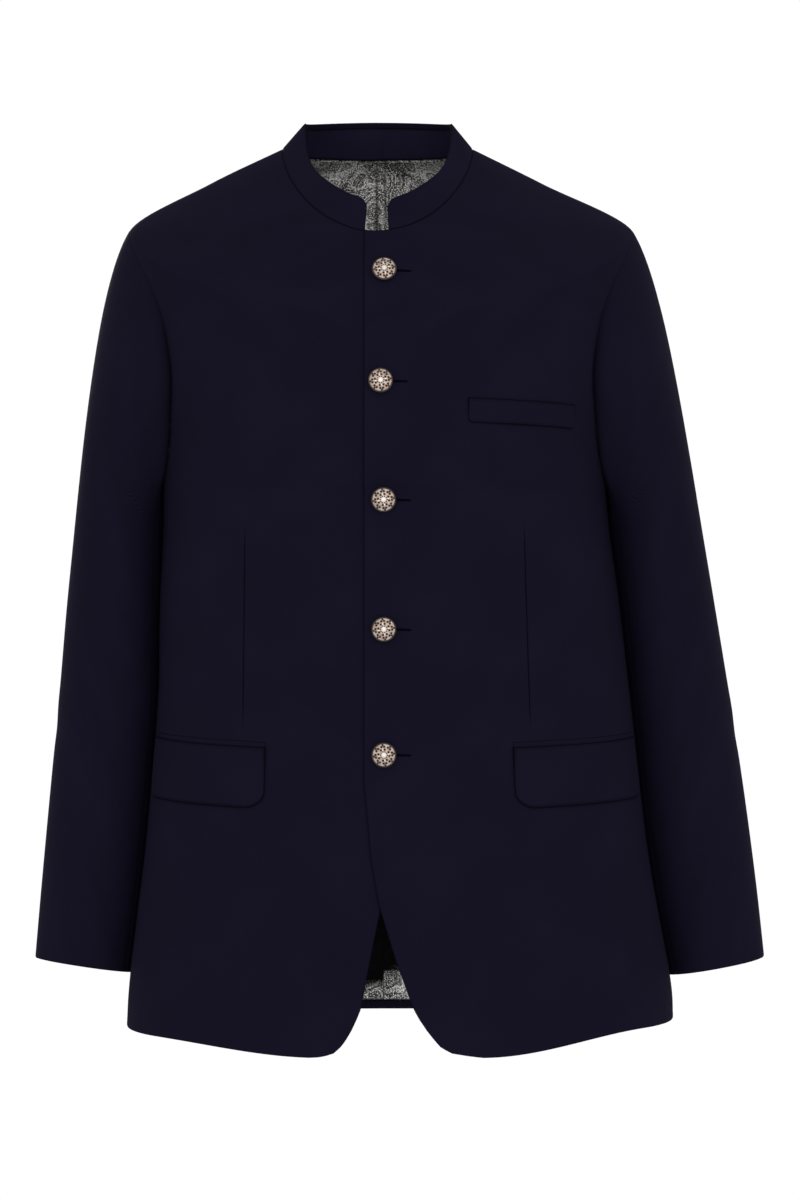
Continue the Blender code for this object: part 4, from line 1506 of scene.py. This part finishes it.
@dataclass
class PocketTrim:
    """A flap, welt or jet: cloth laid on a front's own curve, with its two lower corners rounded."""

    name: str
    x_front: float
    x_back: float
    z_front: float
    z_back: float
    height: float
    corner: float
    ease: float = CUT.trim_ease
    thick: float = CUT.trim
    belly: float = 0.0          # how far the middle stands off its two ends
    shade: float = 1.0          # width of the painted shade along its edges
    painted_hang_shadow: float = 0.0           # width of the deeper painted shadow where its free edges stand off the front
    steps: tuple[float, float] = (3.2, 2.4)     # from column to column and from row to row
    near: tuple[float, ...] = (0.3, 0.8, 1.5, 2.5, 4.0, 6.0, 8.5, 11.0, 14.0)   # columns of the rounded corners
    low: float = 8.0            # a piece no higher than this gets even rows
    dark: float = 0.85          # strength of the painted shades

    def build(self, finishes: Finishes) -> Piece:
        """Builds the piece.

        Args:
            finishes: the materials.

        Returns:
            The piece.
        """
        ends = ((self.x_front, self.z_front), (self.x_back, self.z_back))
        (first, first_level), (last, _) = (BODY.place(*end) for end in ends)
        steps = BODY.surface(np.linspace(first, last, 25), np.full(25, first_level))
        length = float(apart(steps[1:], steps[:-1]).sum())
        across = shares(length, self.steps[0], tuple(d for d in self.near if d <= max(self.corner, 1.5)))
        down = shares(self.height, self.steps[1], (0.4, 1.1)) if self.height > self.low else np.linspace(0.0, 1.0, 9)
        z = self.z_front + (self.z_back - self.z_front) * across[None, :]
        z = z - (self.height - corner_cut(across, length, self.corner)[None, :]) * down[:, None]
        angle = np.broadcast_to((first + (last - first) * across)[None, :], z.shape)
        level = BODY.level_at(angle, z)
        plain, normals = BODY.surface(angle, level), BODY.normal(angle, level)
        belly = self.belly * np.sin(math.pi * across)[None, :] * np.sin(math.pi * np.minimum(down, 0.85))[:, None]
        face = lay(plain, normals, self.ease + self.thick + belly - 0.8 * rolled(plain))
        other = lay(plain, normals, self.ease + 0.4 * belly)
        obj = wall(self.name, face, other, (finishes.suiting, finishes.suiting))
        # painted shade along the edges, and a deeper painted shadow along a flap's front end and bottom
        shade = seam_shade(plain, self.shade, self.dark)
        if self.painted_hang_shadow:
            end, lower = (apart(plain, edge) for edge in (plain[:, :1], plain[-1:]))
            shade = np.maximum(shade, self.dark * np.maximum(bell(end / self.painted_hang_shadow), bell(1.4 * lower / self.painted_hang_shadow)))
        mark(obj, "seam", shade)
        return Piece(obj, face)


@dataclass
class ShankButton:
    """A domed shank button of rose brass, pierced with a generic rosette of dots round small beads."""

    number: int
    x: float
    z: float
    # radius and height above the cloth, from the shank's foot to the rim
    back: tuple[tuple[float, float], ...] = (
        (2.3, 0.3), (2.3, 1.3), (2.35, 2.1), (3.2, 2.22), (5.4, 2.25), (7.6, 2.28), (8.7, 2.34), (9.5, 2.65),
    )
    rim: tuple[tuple[float, float], ...] = ((9.95, 2.95), (10.15, 3.2), (10.15, 3.55), (10.02, 3.85), (9.75, 4.03))
    dome: tuple[tuple[float, float], ...] = (
        (0.0, 5.65), (1.5, 5.63), (2.6, 5.56), (4.5, 5.36), (6.4, 5.05), (8.2, 4.62), (9.1, 4.3), (9.4, 4.12),
    )
    # rings of round spots: size, radius, number, degrees of the first, and how far each stands aside for a pair
    holes: tuple[tuple[float, ...], ...] = (
        (0.75, 6.95, 8, 8.0, 9.5), (0.68, 8.4, 8, 8.0, 0.0), (0.73, 4.6, 4, 12.0, 20.0), (0.40, 2.75, 10, 0.0, 0.0),
    )
    beads: tuple[tuple[float, ...], ...] = ((0.62, 7.5, 8, 8.0, 0.0), (0.75, 4.3, 4, 12.0, 0.0))
    rim_shade: tuple[float, float] = (8.8, 9.35)   # radius where the rim's painted shade starts, and where it is black
    groove: tuple[float, float, float] = (0.5, 9.5, 0.24)   # depth, radius and width of the groove round the figure
    boss: tuple[float, float] = (0.8, 2.3)      # height and radius of the boss in the middle
    edge: float = 0.12          # depth from which a spot is a hole
    bead_rise: float = 0.45     # a bead's height as a share of a hole's depth
    sunk: float = 0.55          # a hole's depth
    oxide: float = 2.6          # how quickly the metal blackens with depth
    polish: float = 2.2         # how quickly the painted highlight brightens with a bead's height
    segments: int = 160
    dome_rings: tuple[float, float, float] = (9.55, 0.3, -0.21)     # radius of the first, end and step

    def spots(self, table: tuple[tuple[float, ...], ...], radius: np.ndarray, turn: np.ndarray) -> np.ndarray:
        """Draws rings of round spots.

        Args:
            table: the rings.
            radius: how far the points are from the button's middle, in mm.
            turn: their angles, in radians.

        Returns:
            1 in the middle of a spot, falling to 0 about it.
        """
        x, y = radius * np.cos(turn), radius * np.sin(turn)
        found = np.zeros(x.shape)
        for size, ring, count, first, aside in table:
            for at in (360.0 * k / count + first + side * aside for k in range(int(count)) for side in (-1.0, 1.0)):
                t = math.radians(at)
                found = np.maximum(found, bell(np.hypot(x - ring * math.cos(t), y - ring * math.sin(t)) / size))
        return found

    def pierced(self, radius: np.ndarray, turn: np.ndarray) -> np.ndarray:
        """Draws the figure on the dome, with a groove round it and a boss in its middle.

        Args:
            radius: how far the points are from the button's middle, in mm.
            turn: their angles, in radians.

        Returns:
            1 at the bottom of a hole, 0 on the metal, below 0 on a bead.
        """
        (deep, at, wide), (high, size) = self.groove, self.boss
        holes = np.maximum(self.spots(self.holes, radius, turn), deep * bell((radius - at) / wide))
        beads = np.maximum(self.spots(self.beads, radius, turn), high * bell(radius / size))
        return np.where(holes > self.edge, holes, -self.bead_rise * beads)

    def build(self, finishes: Finishes) -> bpy.types.Object:
        """Builds the button on the left front.

        Args:
            finishes: the materials.

        Returns:
            The button.
        """
        angle, level = BODY.place(self.x, self.z)
        foot, out = BODY.surface(angle, level), BODY.normal(angle, level)
        across = unit(np.cross([0.0, 0.0, 1.0], out))
        up = np.cross(out, across)
        dome_radii = np.concatenate([np.arange(*self.dome_rings), [0.16]])
        profile = np.array([*self.back, *self.rim, *zip(dome_radii, np.interp(dome_radii, *zip(*self.dome)))])
        rows, cols = len(profile), self.segments
        radius = np.broadcast_to(profile[:, :1], (rows, cols))
        turns = np.broadcast_to((math.tau * np.arange(cols) / cols)[None, :], radius.shape)
        on_dome = (np.arange(rows) >= len(self.back) + len(self.rim))[:, None]
        deep = np.where(on_dome, self.pierced(radius, turns), 0.0)
        height = profile[:, 1:] - self.sunk * deep
        ring = radius[..., None] * (np.cos(turns)[..., None] * across + np.sin(turns)[..., None] * up)
        points = (foot + height[..., None] * out + ring).reshape(-1, 3)
        ends = np.array([foot + out * self.back[0][1], foot + out * self.dome[0][1]])
        base, crown, last = rows * cols, rows * cols + 1, (rows - 1) * cols
        pairs = list(zip(range(cols), [*range(1, cols), 0]))
        faces: list[tuple[int, ...]] = [
            (r + a, r + b, r + b + cols, r + a + cols) for r in range(0, last, cols) for a, b in pairs
        ]
        for a, b in pairs:
            faces += [(base, b, a), (crown, last + a, last + b)]
        mesh = bpy.data.meshes.new(f"shank_button_{self.number}")
        mesh.from_pydata((np.concatenate([points, ends]) * MM).tolist(), [], faces)
        mesh.materials.append(finishes.brass)
        obj = finished(f"shank_button_{self.number}", mesh, 60.0)
        # painted shade round the rim, stored with the oxide of the pierced figure
        rim_painted_shade = 0.9 * ramp((radius - self.rim_shade[0]) / (self.rim_shade[1] - self.rim_shade[0]))
        under = np.maximum(np.where(on_dome, np.clip(self.oxide * deep, 0.0, 1.0), 0.0), rim_painted_shade)
        mark(obj, "recess", np.concatenate([under.ravel(), [0.35, 0.0]]))
        # painted highlight on the beads, and on the crown's middle
        mark(obj, "bead", np.concatenate([np.clip(-self.polish * deep, 0.0, 1.0).ravel(), [0.0, 0.8]]))
        return declare(obj, (f"button_{self.number}",))


@dataclass(frozen=True)
class Stitching:
    """Stitches laid side by side across a path that lies on the cloth, over a thin cord that follows the path."""

    spacing: float              # from stitch to stitch, in mm
    length: float
    thread: float               # the thread's radius
    rise: float                 # how far a stitch arches off the cloth
    cord: float                 # the cord's radius
    seed: int = 7

    def tree(self) -> bpy.types.GeometryNodeTree:
        """Builds the tree that sews along a path of edges whose points carry the cloth's direction out.

        Returns:
            The tree.
        """
        tree = bpy.data.node_groups.new("stitches_along_path", "GeometryNodeTree")
        face = tree.interface
        for name, kind in (
            ("Path", "Geometry"), ("Spacing", "Float"), ("Stitch Length", "Float"), ("Thread Radius", "Float"),
            ("Rise", "Float"), ("Cord Radius", "Float"), ("Seed", "Int"), ("Thread", "Material"),
        ):
            face.new_socket(name, in_out="INPUT", socket_type="NodeSocket" + kind)
        face.new_socket("Stitches", in_out="OUTPUT", socket_type="NodeSocketGeometry")
        given = add(tree, "NodeGroupInput").outputs
        path = add(tree, "GeometryNodeMeshToCurve", {}, {"Mesh": given["Path"]})
        even = add(tree, "GeometryNodeResampleCurve", {"mode": "LENGTH"}, {"Curve": path, "Length": given["Spacing"]})
        bends = {}
        for point, axis, size, times in (
            ("Start", "Y", "Stitch Length", -0.5), ("Middle", "Z", "Rise", 2.0), ("End", "Y", "Stitch Length", 0.5),
        ):
            away = add(tree, "ShaderNodeMath", {"operation": "MULTIPLY"}, {0: given[size], 1: times})
            bends[point] = add(tree, "ShaderNodeCombineXYZ", {}, {axis: away})
        arch = add(tree, "GeometryNodeCurveQuadraticBezier", {}, {"Resolution": 4, **bends})
        tubes = []
        for line, radius in ((arch, "Thread Radius"), (even, "Cord Radius")):
            circle = add(tree, "GeometryNodeCurvePrimitiveCircle", {}, {"Resolution": 6, "Radius": given[radius]})
            tubes.append(add(tree, "GeometryNodeCurveToMesh", {}, {
                "Curve": line, "Profile Curve": circle, "Fill Caps": True,
            }))
        stitch, cord = tubes
        tangent = add(tree, "GeometryNodeInputTangent")
        out = add(tree, "GeometryNodeInputNamedAttribute", {"data_type": "FLOAT_VECTOR"}, {"Name": "out"})
        ahead = add(tree, "FunctionNodeAlignRotationToVector", {"axis": "X"}, {"Vector": tangent})
        upright = add(tree, "FunctionNodeAlignRotationToVector", {"axis": "Z", "pivot_axis": "X"}, {
            "Rotation": ahead, "Vector": out,
        })
        uneven = add(tree, "FunctionNodeRandomValue", {"data_type": "FLOAT"}, {
            2: 0.88, 3: 1.1, "Seed": given["Seed"],
        })
        sewn = add(tree, "GeometryNodeInstanceOnPoints", {}, {
            "Points": even, "Instance": stitch, "Rotation": upright, "Scale": uneven.outputs[1],
        })
        both = add(tree, "GeometryNodeJoinGeometry")
        for part in (sewn, cord):
            wire(tree, both, {0: part})
        real = add(tree, "GeometryNodeRealizeInstances", {}, {0: both})
        dyed = add(tree, "GeometryNodeSetMaterial", {}, {0: real, "Material": given["Thread"]})
        add(tree, "NodeGroupOutput", {}, {0: dyed})
        return tree

    def sew(
        self, name: str, paths: list[tuple[np.ndarray, np.ndarray, bool]], thread: bpy.types.Material, slot: str
    ) -> bpy.types.Object:
        """Sews along paths and keeps the result as a plain mesh.

        Args:
            name: the piece's name.
            paths: points in mm, directions out of the cloth, and whether the path closes.
            thread: the thread's material.
            slot: the material slot that it belongs to; not used.

        Returns:
            The stitches as one object.
        """
        points, outs, edges = [], [], []
        for path, out, closed in paths:
            base, count = len(points), len(path)
            points += (path * MM).tolist()
            outs += out.tolist()
            edges += [(base + i, base + i + 1) for i in range(count - 1)]
            edges += [(base + count - 1, base)] if closed else []
        mesh = bpy.data.meshes.new(name)
        mesh.from_pydata(points, edges, [])
        mesh.attributes.new(name="out", type="FLOAT_VECTOR", domain="POINT").data.foreach_set(
            "vector", np.array(outs, dtype=np.float32).ravel()
        )
        guide = placed(name + "_path", mesh)
        modifier = guide.modifiers.new("stitches", "NODES")
        tree = self.tree()
        modifier.node_group = tree
        sockets = {item.name: item.identifier for item in tree.interface.items_tree if item.in_out == "INPUT"}
        for socket, value in (
            ("Spacing", self.spacing * MM), ("Stitch Length", self.length * MM), ("Thread Radius", self.thread * MM),
            ("Rise", self.rise * MM), ("Cord Radius", self.cord * MM), ("Seed", self.seed), ("Thread", thread),
        ):
            modifier[sockets[socket]] = value
        evaluated = guide.evaluated_get(bpy.context.evaluated_depsgraph_get())
        result = bpy.data.meshes.new_from_object(evaluated)
        guide.modifiers.remove(modifier)
        bpy.data.objects.remove(guide)
        for attribute in [item.name for item in result.attributes if item.name == "out"]:
            result.attributes.remove(result.attributes[attribute])
        if not result.materials:
            result.materials.append(thread)
        result.name = name
        return declare(finished(name, result, 70.0), ())


@dataclass
class Buttonholes:
    """Hand-worked buttonholes of the left front, each running away from its button."""

    buttons: tuple[tuple[float, float], ...]
    start: float = 4.0          # from the button's middle to the slit's two ends
    end: float = 22.4
    half_open: float = 0.52
    slope: float = 0.5          # how far the far end drops
    pull: tuple[float, float] = (1.3, 0.7)      # how wide the near end opens, and how much less the far end does
    blunt: tuple[float, float] = (0.45, 0.6)    # powers that square the slit's outline along and across
    points: int = 60
    off: float = 0.12           # how far the cord lies off the cloth
    stitching: Stitching = Stitching(0.5, 0.95, 0.2, 0.16, 0.2)

    def build(self, finishes: Finishes) -> bpy.types.Object:
        """Builds all the buttonholes.

        Args:
            finishes: the materials.

        Returns:
            The stitches.
        """
        paths = []
        turn = np.linspace(0.0, math.tau, self.points, endpoint=False)
        middle, half = (self.start + self.end) / 2.0, (self.end - self.start) / 2.0
        along = middle + half * bent(np.cos(turn), self.blunt[0])
        # the button's pull opens the near end
        share = (along - self.start) / (self.end - self.start)
        opened = self.half_open * (self.pull[0] - self.pull[1] * share)
        high = opened * bent(np.sin(turn), self.blunt[1]) - self.slope * share
        for x, z in self.buttons:
            angle, level = BODY.place(x + along, z + high)
            out = BODY.normal(angle, level)
            paths.append((BODY.surface(angle, level) + out * self.off, out, True))
        return self.stitching.sew("worked_buttonholes", paths, finishes.twist, "suiting")


@dataclass
class FellStitches:
    """Small slip stitches that hold the foot of the back's lining to the turned-up hem."""

    level: float = 0.196
    angles: tuple[float, float] = (84.0, 276.0)
    stitching: Stitching = Stitching(4.2, 1.5, 0.13, 0.15, 0.06, 11)

    def build(self, finishes: Finishes) -> bpy.types.Object:
        """Builds the row of stitches.

        Args:
            finishes: the materials.

        Returns:
            The stitches.
        """
        angle = np.linspace(*self.angles, 180)
        level = np.full(angle.shape, self.level)
        inward = -BODY.normal(angle, level)
        path = BODY.surface(angle, level) + inward * (CUT.cloth + CUT.lining_ease + CUT.lining + 0.05)
        return self.stitching.sew("fell_stitches", [(path, inward, False)], finishes.silk, "lining")


@dataclass
class Studio:
    """A plain pale floor in a white light tent, a softbox on either side, and the camera as for the photograph."""

    camera_at: tuple[float, float, float] = (0.015, -2.2, -0.391)
    lens: float = 75.85
    floor: float = -1.4         # where the wearer would stand
    floor_radius: float = 1.45
    floor_sides: int = 96
    white: str = "f7f6fb"
    grey: str = "f4f3f9"        # the paper's faint shade
    tent: float = 1.02
    # name, place, width and height in metres, and watts of each softbox
    lights: tuple[tuple[str, tuple[float, float, float], tuple[float, float], float], ...] = (
        ("key_softbox", (0.4, -2.8, 0.35), (1.7, 0.6), 4.0), ("back_softbox", (-0.9, 2.8, 0.7), (1.2, 0.6), 9.0),
    )
    target: tuple[float, float, float] = (0.0, 0.0, -0.4)   # the point that both look at
    spread: float = 90.0        # degrees that they shine into

    def lay_floor(self) -> None:
        """Builds the round floor of white paper."""
        turns = math.tau * np.arange(self.floor_sides) / self.floor_sides
        points = [(self.floor_radius * math.cos(t), self.floor_radius * math.sin(t), self.floor) for t in turns]
        mesh = bpy.data.meshes.new("studio_floor")
        mesh.from_pydata(points, [], [tuple(range(self.floor_sides))])
        paper, tree, shader = blank("floor_paper")
        place = add(tree, "ShaderNodeTexCoord").outputs["Object"]
        grain = add(tree, "ShaderNodeTexNoise", {}, {"Vector": place, "Scale": 3.0, "Detail": 2.0})
        tone = stops(
            add(tree, "ShaderNodeValToRGB", {}, {"Fac": grain}),
            (0.0, linear(self.grey)), (1.0, linear(self.white)),
        )
        wire(tree, shader, {"Base Color": tone, "Roughness": 0.95, "Specular IOR Level": 0.0})
        mesh.materials.append(paper)
        placed("studio_floor", mesh)

    def build(self) -> None:
        """Builds the floor, the lights and the camera."""
        self.lay_floor()
        for name, at, size, power in self.lights:
            data = bpy.data.lights.new(name, "AREA")
            data.shape, data.size, data.size_y, data.energy = "RECTANGLE", *size, power
            data.spread = math.radians(self.spread)
            light = placed(name, data)
            light.location = at
            light.rotation_euler = (Vector(self.target) - Vector(at)).to_track_quat("-Z", "Y").to_euler()
        scene = bpy.context.scene
        scene.world = bpy.data.worlds.new("light_tent")
        scene.world.use_nodes = True
        wire(scene.world.node_tree, scene.world.node_tree.nodes["Background"], {
            "Color": (1.0, 1.0, 1.0, 1.0), "Strength": self.tent,
        })
        scene.view_settings.view_transform = "Standard"
        data = bpy.data.cameras.new("photograph_camera")
        data.sensor_fit, data.sensor_height, data.lens = "VERTICAL", 36.0, self.lens
        scene.camera = placed("photograph_camera", data)
        scene.camera.location = self.camera_at
        scene.camera.rotation_euler = (math.pi / 2.0, 0.0, 0.0)


# height and x of the fronts' free edges, from the rounded corners at the hem to the neck
LEFT_EDGE = (
    (-768.3, 84.0), (-767.6, 78.0), (-764.9, 59.0), (-759.7, 49.0), (-754.2, 44.0), (-745.3, 37.0), (-735.8, 30.6),
    (-728.0, 26.3), (-695.0, 14.0), (-670.0, 6.0), (-642.0, -2.5), (-605.0, -9.0), (-572.0, -12.0), (-540.0, -15.0),
    (-60.0, -15.0),
)
RIGHT_EDGE = (
    (-768.3, -60.0), (-767.6, -50.0), (-764.9, -40.3), (-759.7, -34.4), (-754.2, -30.0), (-745.3, -24.8),
    (-735.8, -20.4), (-728.0, -17.3), (-695.0, -11.0), (-670.0, -6.0), (-642.0, 0.0), (-605.0, 8.0), (-572.0, 14.0),
    (-540.0, 18.0), (-60.0, 18.0),
)
# rings from below the head to the cuff: z outside and inside, x outside, y of the middle, depth
RIGHT_SLEEVE = (
    (-330, -330, -270.0, 24, 140), (-400, -400, -277.7, 29, 136), (-480, -480, -285.0, 32, 129),
    (-560, -560, -293.0, 33, 118), (-640, -643, -300.3, 31, 107), (-705, -718.5, -305.5, 28, 99),
)
LEFT_SLEEVE = (
    (-330, -330, 279.6, 24, 140), (-400, -400, 292.0, 29, 136), (-480, -480, 305.6, 32, 129),
    (-560, -560, 318.0, 33, 118), (-640, -643, 328.4, 31, 107), (-703.5, -720, 335.0, 28, 99),
)
# x and z of the buttons' middles, from the neck down
BUTTONS = ((1.9, -117.0), (-1.0, -210.6), (1.5, -308.4), (1.7, -415.2), (1.8, -518.6))


def main() -> None:
    """Builds each part of the jacket in the order of its making, then the studio, and notes the sizes."""
    logging.basicConfig(level=logging.INFO, format="%(name)s %(message)s")
    finishes = Finishes()

    fronts = {
        Side.LEFT: FrontPanel(Side.LEFT, LEFT_EDGE, ((-504.0, 123.5), (-322.0, 118.0)), (
            Fold(150, -300, 62, 190, 15, 0.9), Fold(95, -262, 48, 150, 12, 0.7), Fold(165, -430, 105, 170, 16, 0.8),
            Fold(60, -640, 96, 200, 22, 0.9), Fold(160, -660, 88, 180, 24, 0.8), Fold(80, -140, 120, 110, 14, 0.6),
        )),
        Side.RIGHT: FrontPanel(Side.RIGHT, RIGHT_EDGE, ((-504.0, -116.0), (-322.0, -114.0)), (
            Fold(-146, -292, 118, 180, 14, 0.9), Fold(-88, -256, 134, 140, 12, 0.7), Fold(-168, -436, 74, 160, 15, 0.8),
            Fold(-66, -650, 84, 190, 21, 0.9), Fold(-158, -655, 95, 190, 24, 0.8), Fold(-84, -150, 58, 120, 13, 0.6),
        ), edge_step=3.0),
    }
    backs = {
        Side.LEFT: BackPanel(Side.LEFT, (
            Fold(120, -250, 60, 200, 18, 1.0), Fold(70, -390, 20, 150, 16, 0.9), Fold(150, -480, 100, 190, 18, 0.8),
            Fold(60, -120, 160, 130, 15, 0.7), Fold(110, -660, 92, 190, 26, 1.0),
        )),
        Side.RIGHT: BackPanel(Side.RIGHT, (
            Fold(-116, -240, 122, 190, 17, 1.0), Fold(-76, -400, 158, 160, 16, 0.9), Fold(-148, -470, 78, 200, 18, 0.8),
            Fold(-64, -126, 22, 120, 14, 0.7), Fold(-104, -670, 88, 180, 25, 1.0),
        )),
    }
    sleeves = {
        Side.LEFT: Sleeve(Side.LEFT, LEFT_SLEEVE, (
            Fold(0, -395, 8, 190, 12, 0.9), Fold(40, -452, -14, 150, 10, 1.0), Fold(-60, -500, 18, 160, 12, 0.8),
            Fold(20, -600, 12, 150, 13, 0.7), Fold(-30, -250, 70, 160, 15, 0.8), Fold(150, -440, 10, 150, 11, 0.9),
        )),
        Side.RIGHT: Sleeve(Side.RIGHT, RIGHT_SLEEVE, (
            Fold(6, -402, -9, 180, 12, 0.9), Fold(44, -460, 15, 140, 10, 1.0), Fold(-56, -512, -16, 170, 12, 0.8),
            Fold(24, -590, -10, 160, 13, 0.7), Fold(-34, -262, 108, 150, 15, 0.8), Fold(150, -448, -8, 160, 11, 0.9),
        ), cuff_rise=5.0),
    }
    for side in Side:
        fronts[side].build(finishes).sheet(f"front_{side.word}", "hung")
        backs[side].build(finishes).sheet(f"back_{side.word}", "hung")
        upper, under = sleeves[side].pieces(finishes)
        holders = (f"{side.word}_front", f"{side.word}_back")
        upper.sheet(f"sleeve_upper_{side.word}", "hung", holders)
        under.sheet(f"sleeve_under_{side.word}", "hung", holders)
    stand, band = Collar().build(finishes)
    stand.sheet("collar_outer", "stretched", ("left_back", "right_back"))
    band.sheet("collar_inner", "stretched", ("outer_stand",))
    lining, turned = BackLining().build(finishes)
    lining.sheet("lining_back", "hung", ("left_back", "right_back"), "lining")
    turned.sheet("hem_turnup", "folded", ("left_back", "right_back"))

    for trim, node, on in (
        (PocketTrim("right_flap", -96, -193.5, -513, -508, 51, 14, belly=0.5, painted_hang_shadow=2.0), "flap_right", "right_front"),
        (PocketTrim("left_flap", 108, 214.5, -513, -508, 51, 14, belly=0.5, painted_hang_shadow=2.0), "flap_left", "left_front"),
        (PocketTrim("breast_welt", 71, 161, -224, -227, 20.5, 3), "chest_welt", "left_front"),
        (PocketTrim("right_jet", -96.5, -193, -508.6, -503.6, 10.6, 0.6, 0.06, 0.36, shade=0.5), "", "right_front"),
        (PocketTrim("left_jet", 108.5, 214, -508.6, -503.6, 10.6, 0.6, 0.06, 0.36, shade=0.5), "", "left_front"),
    ):
        trim.build(finishes).sheet(node, "laid", (on,))

    for number, (x, z) in enumerate(BUTTONS, 1):
        ShankButton(number, x, z).build(finishes)
    Buttonholes(BUTTONS).build(finishes)
    FellStitches().build(finishes)
    Studio().build()


if __name__ == "__main__":
    main()
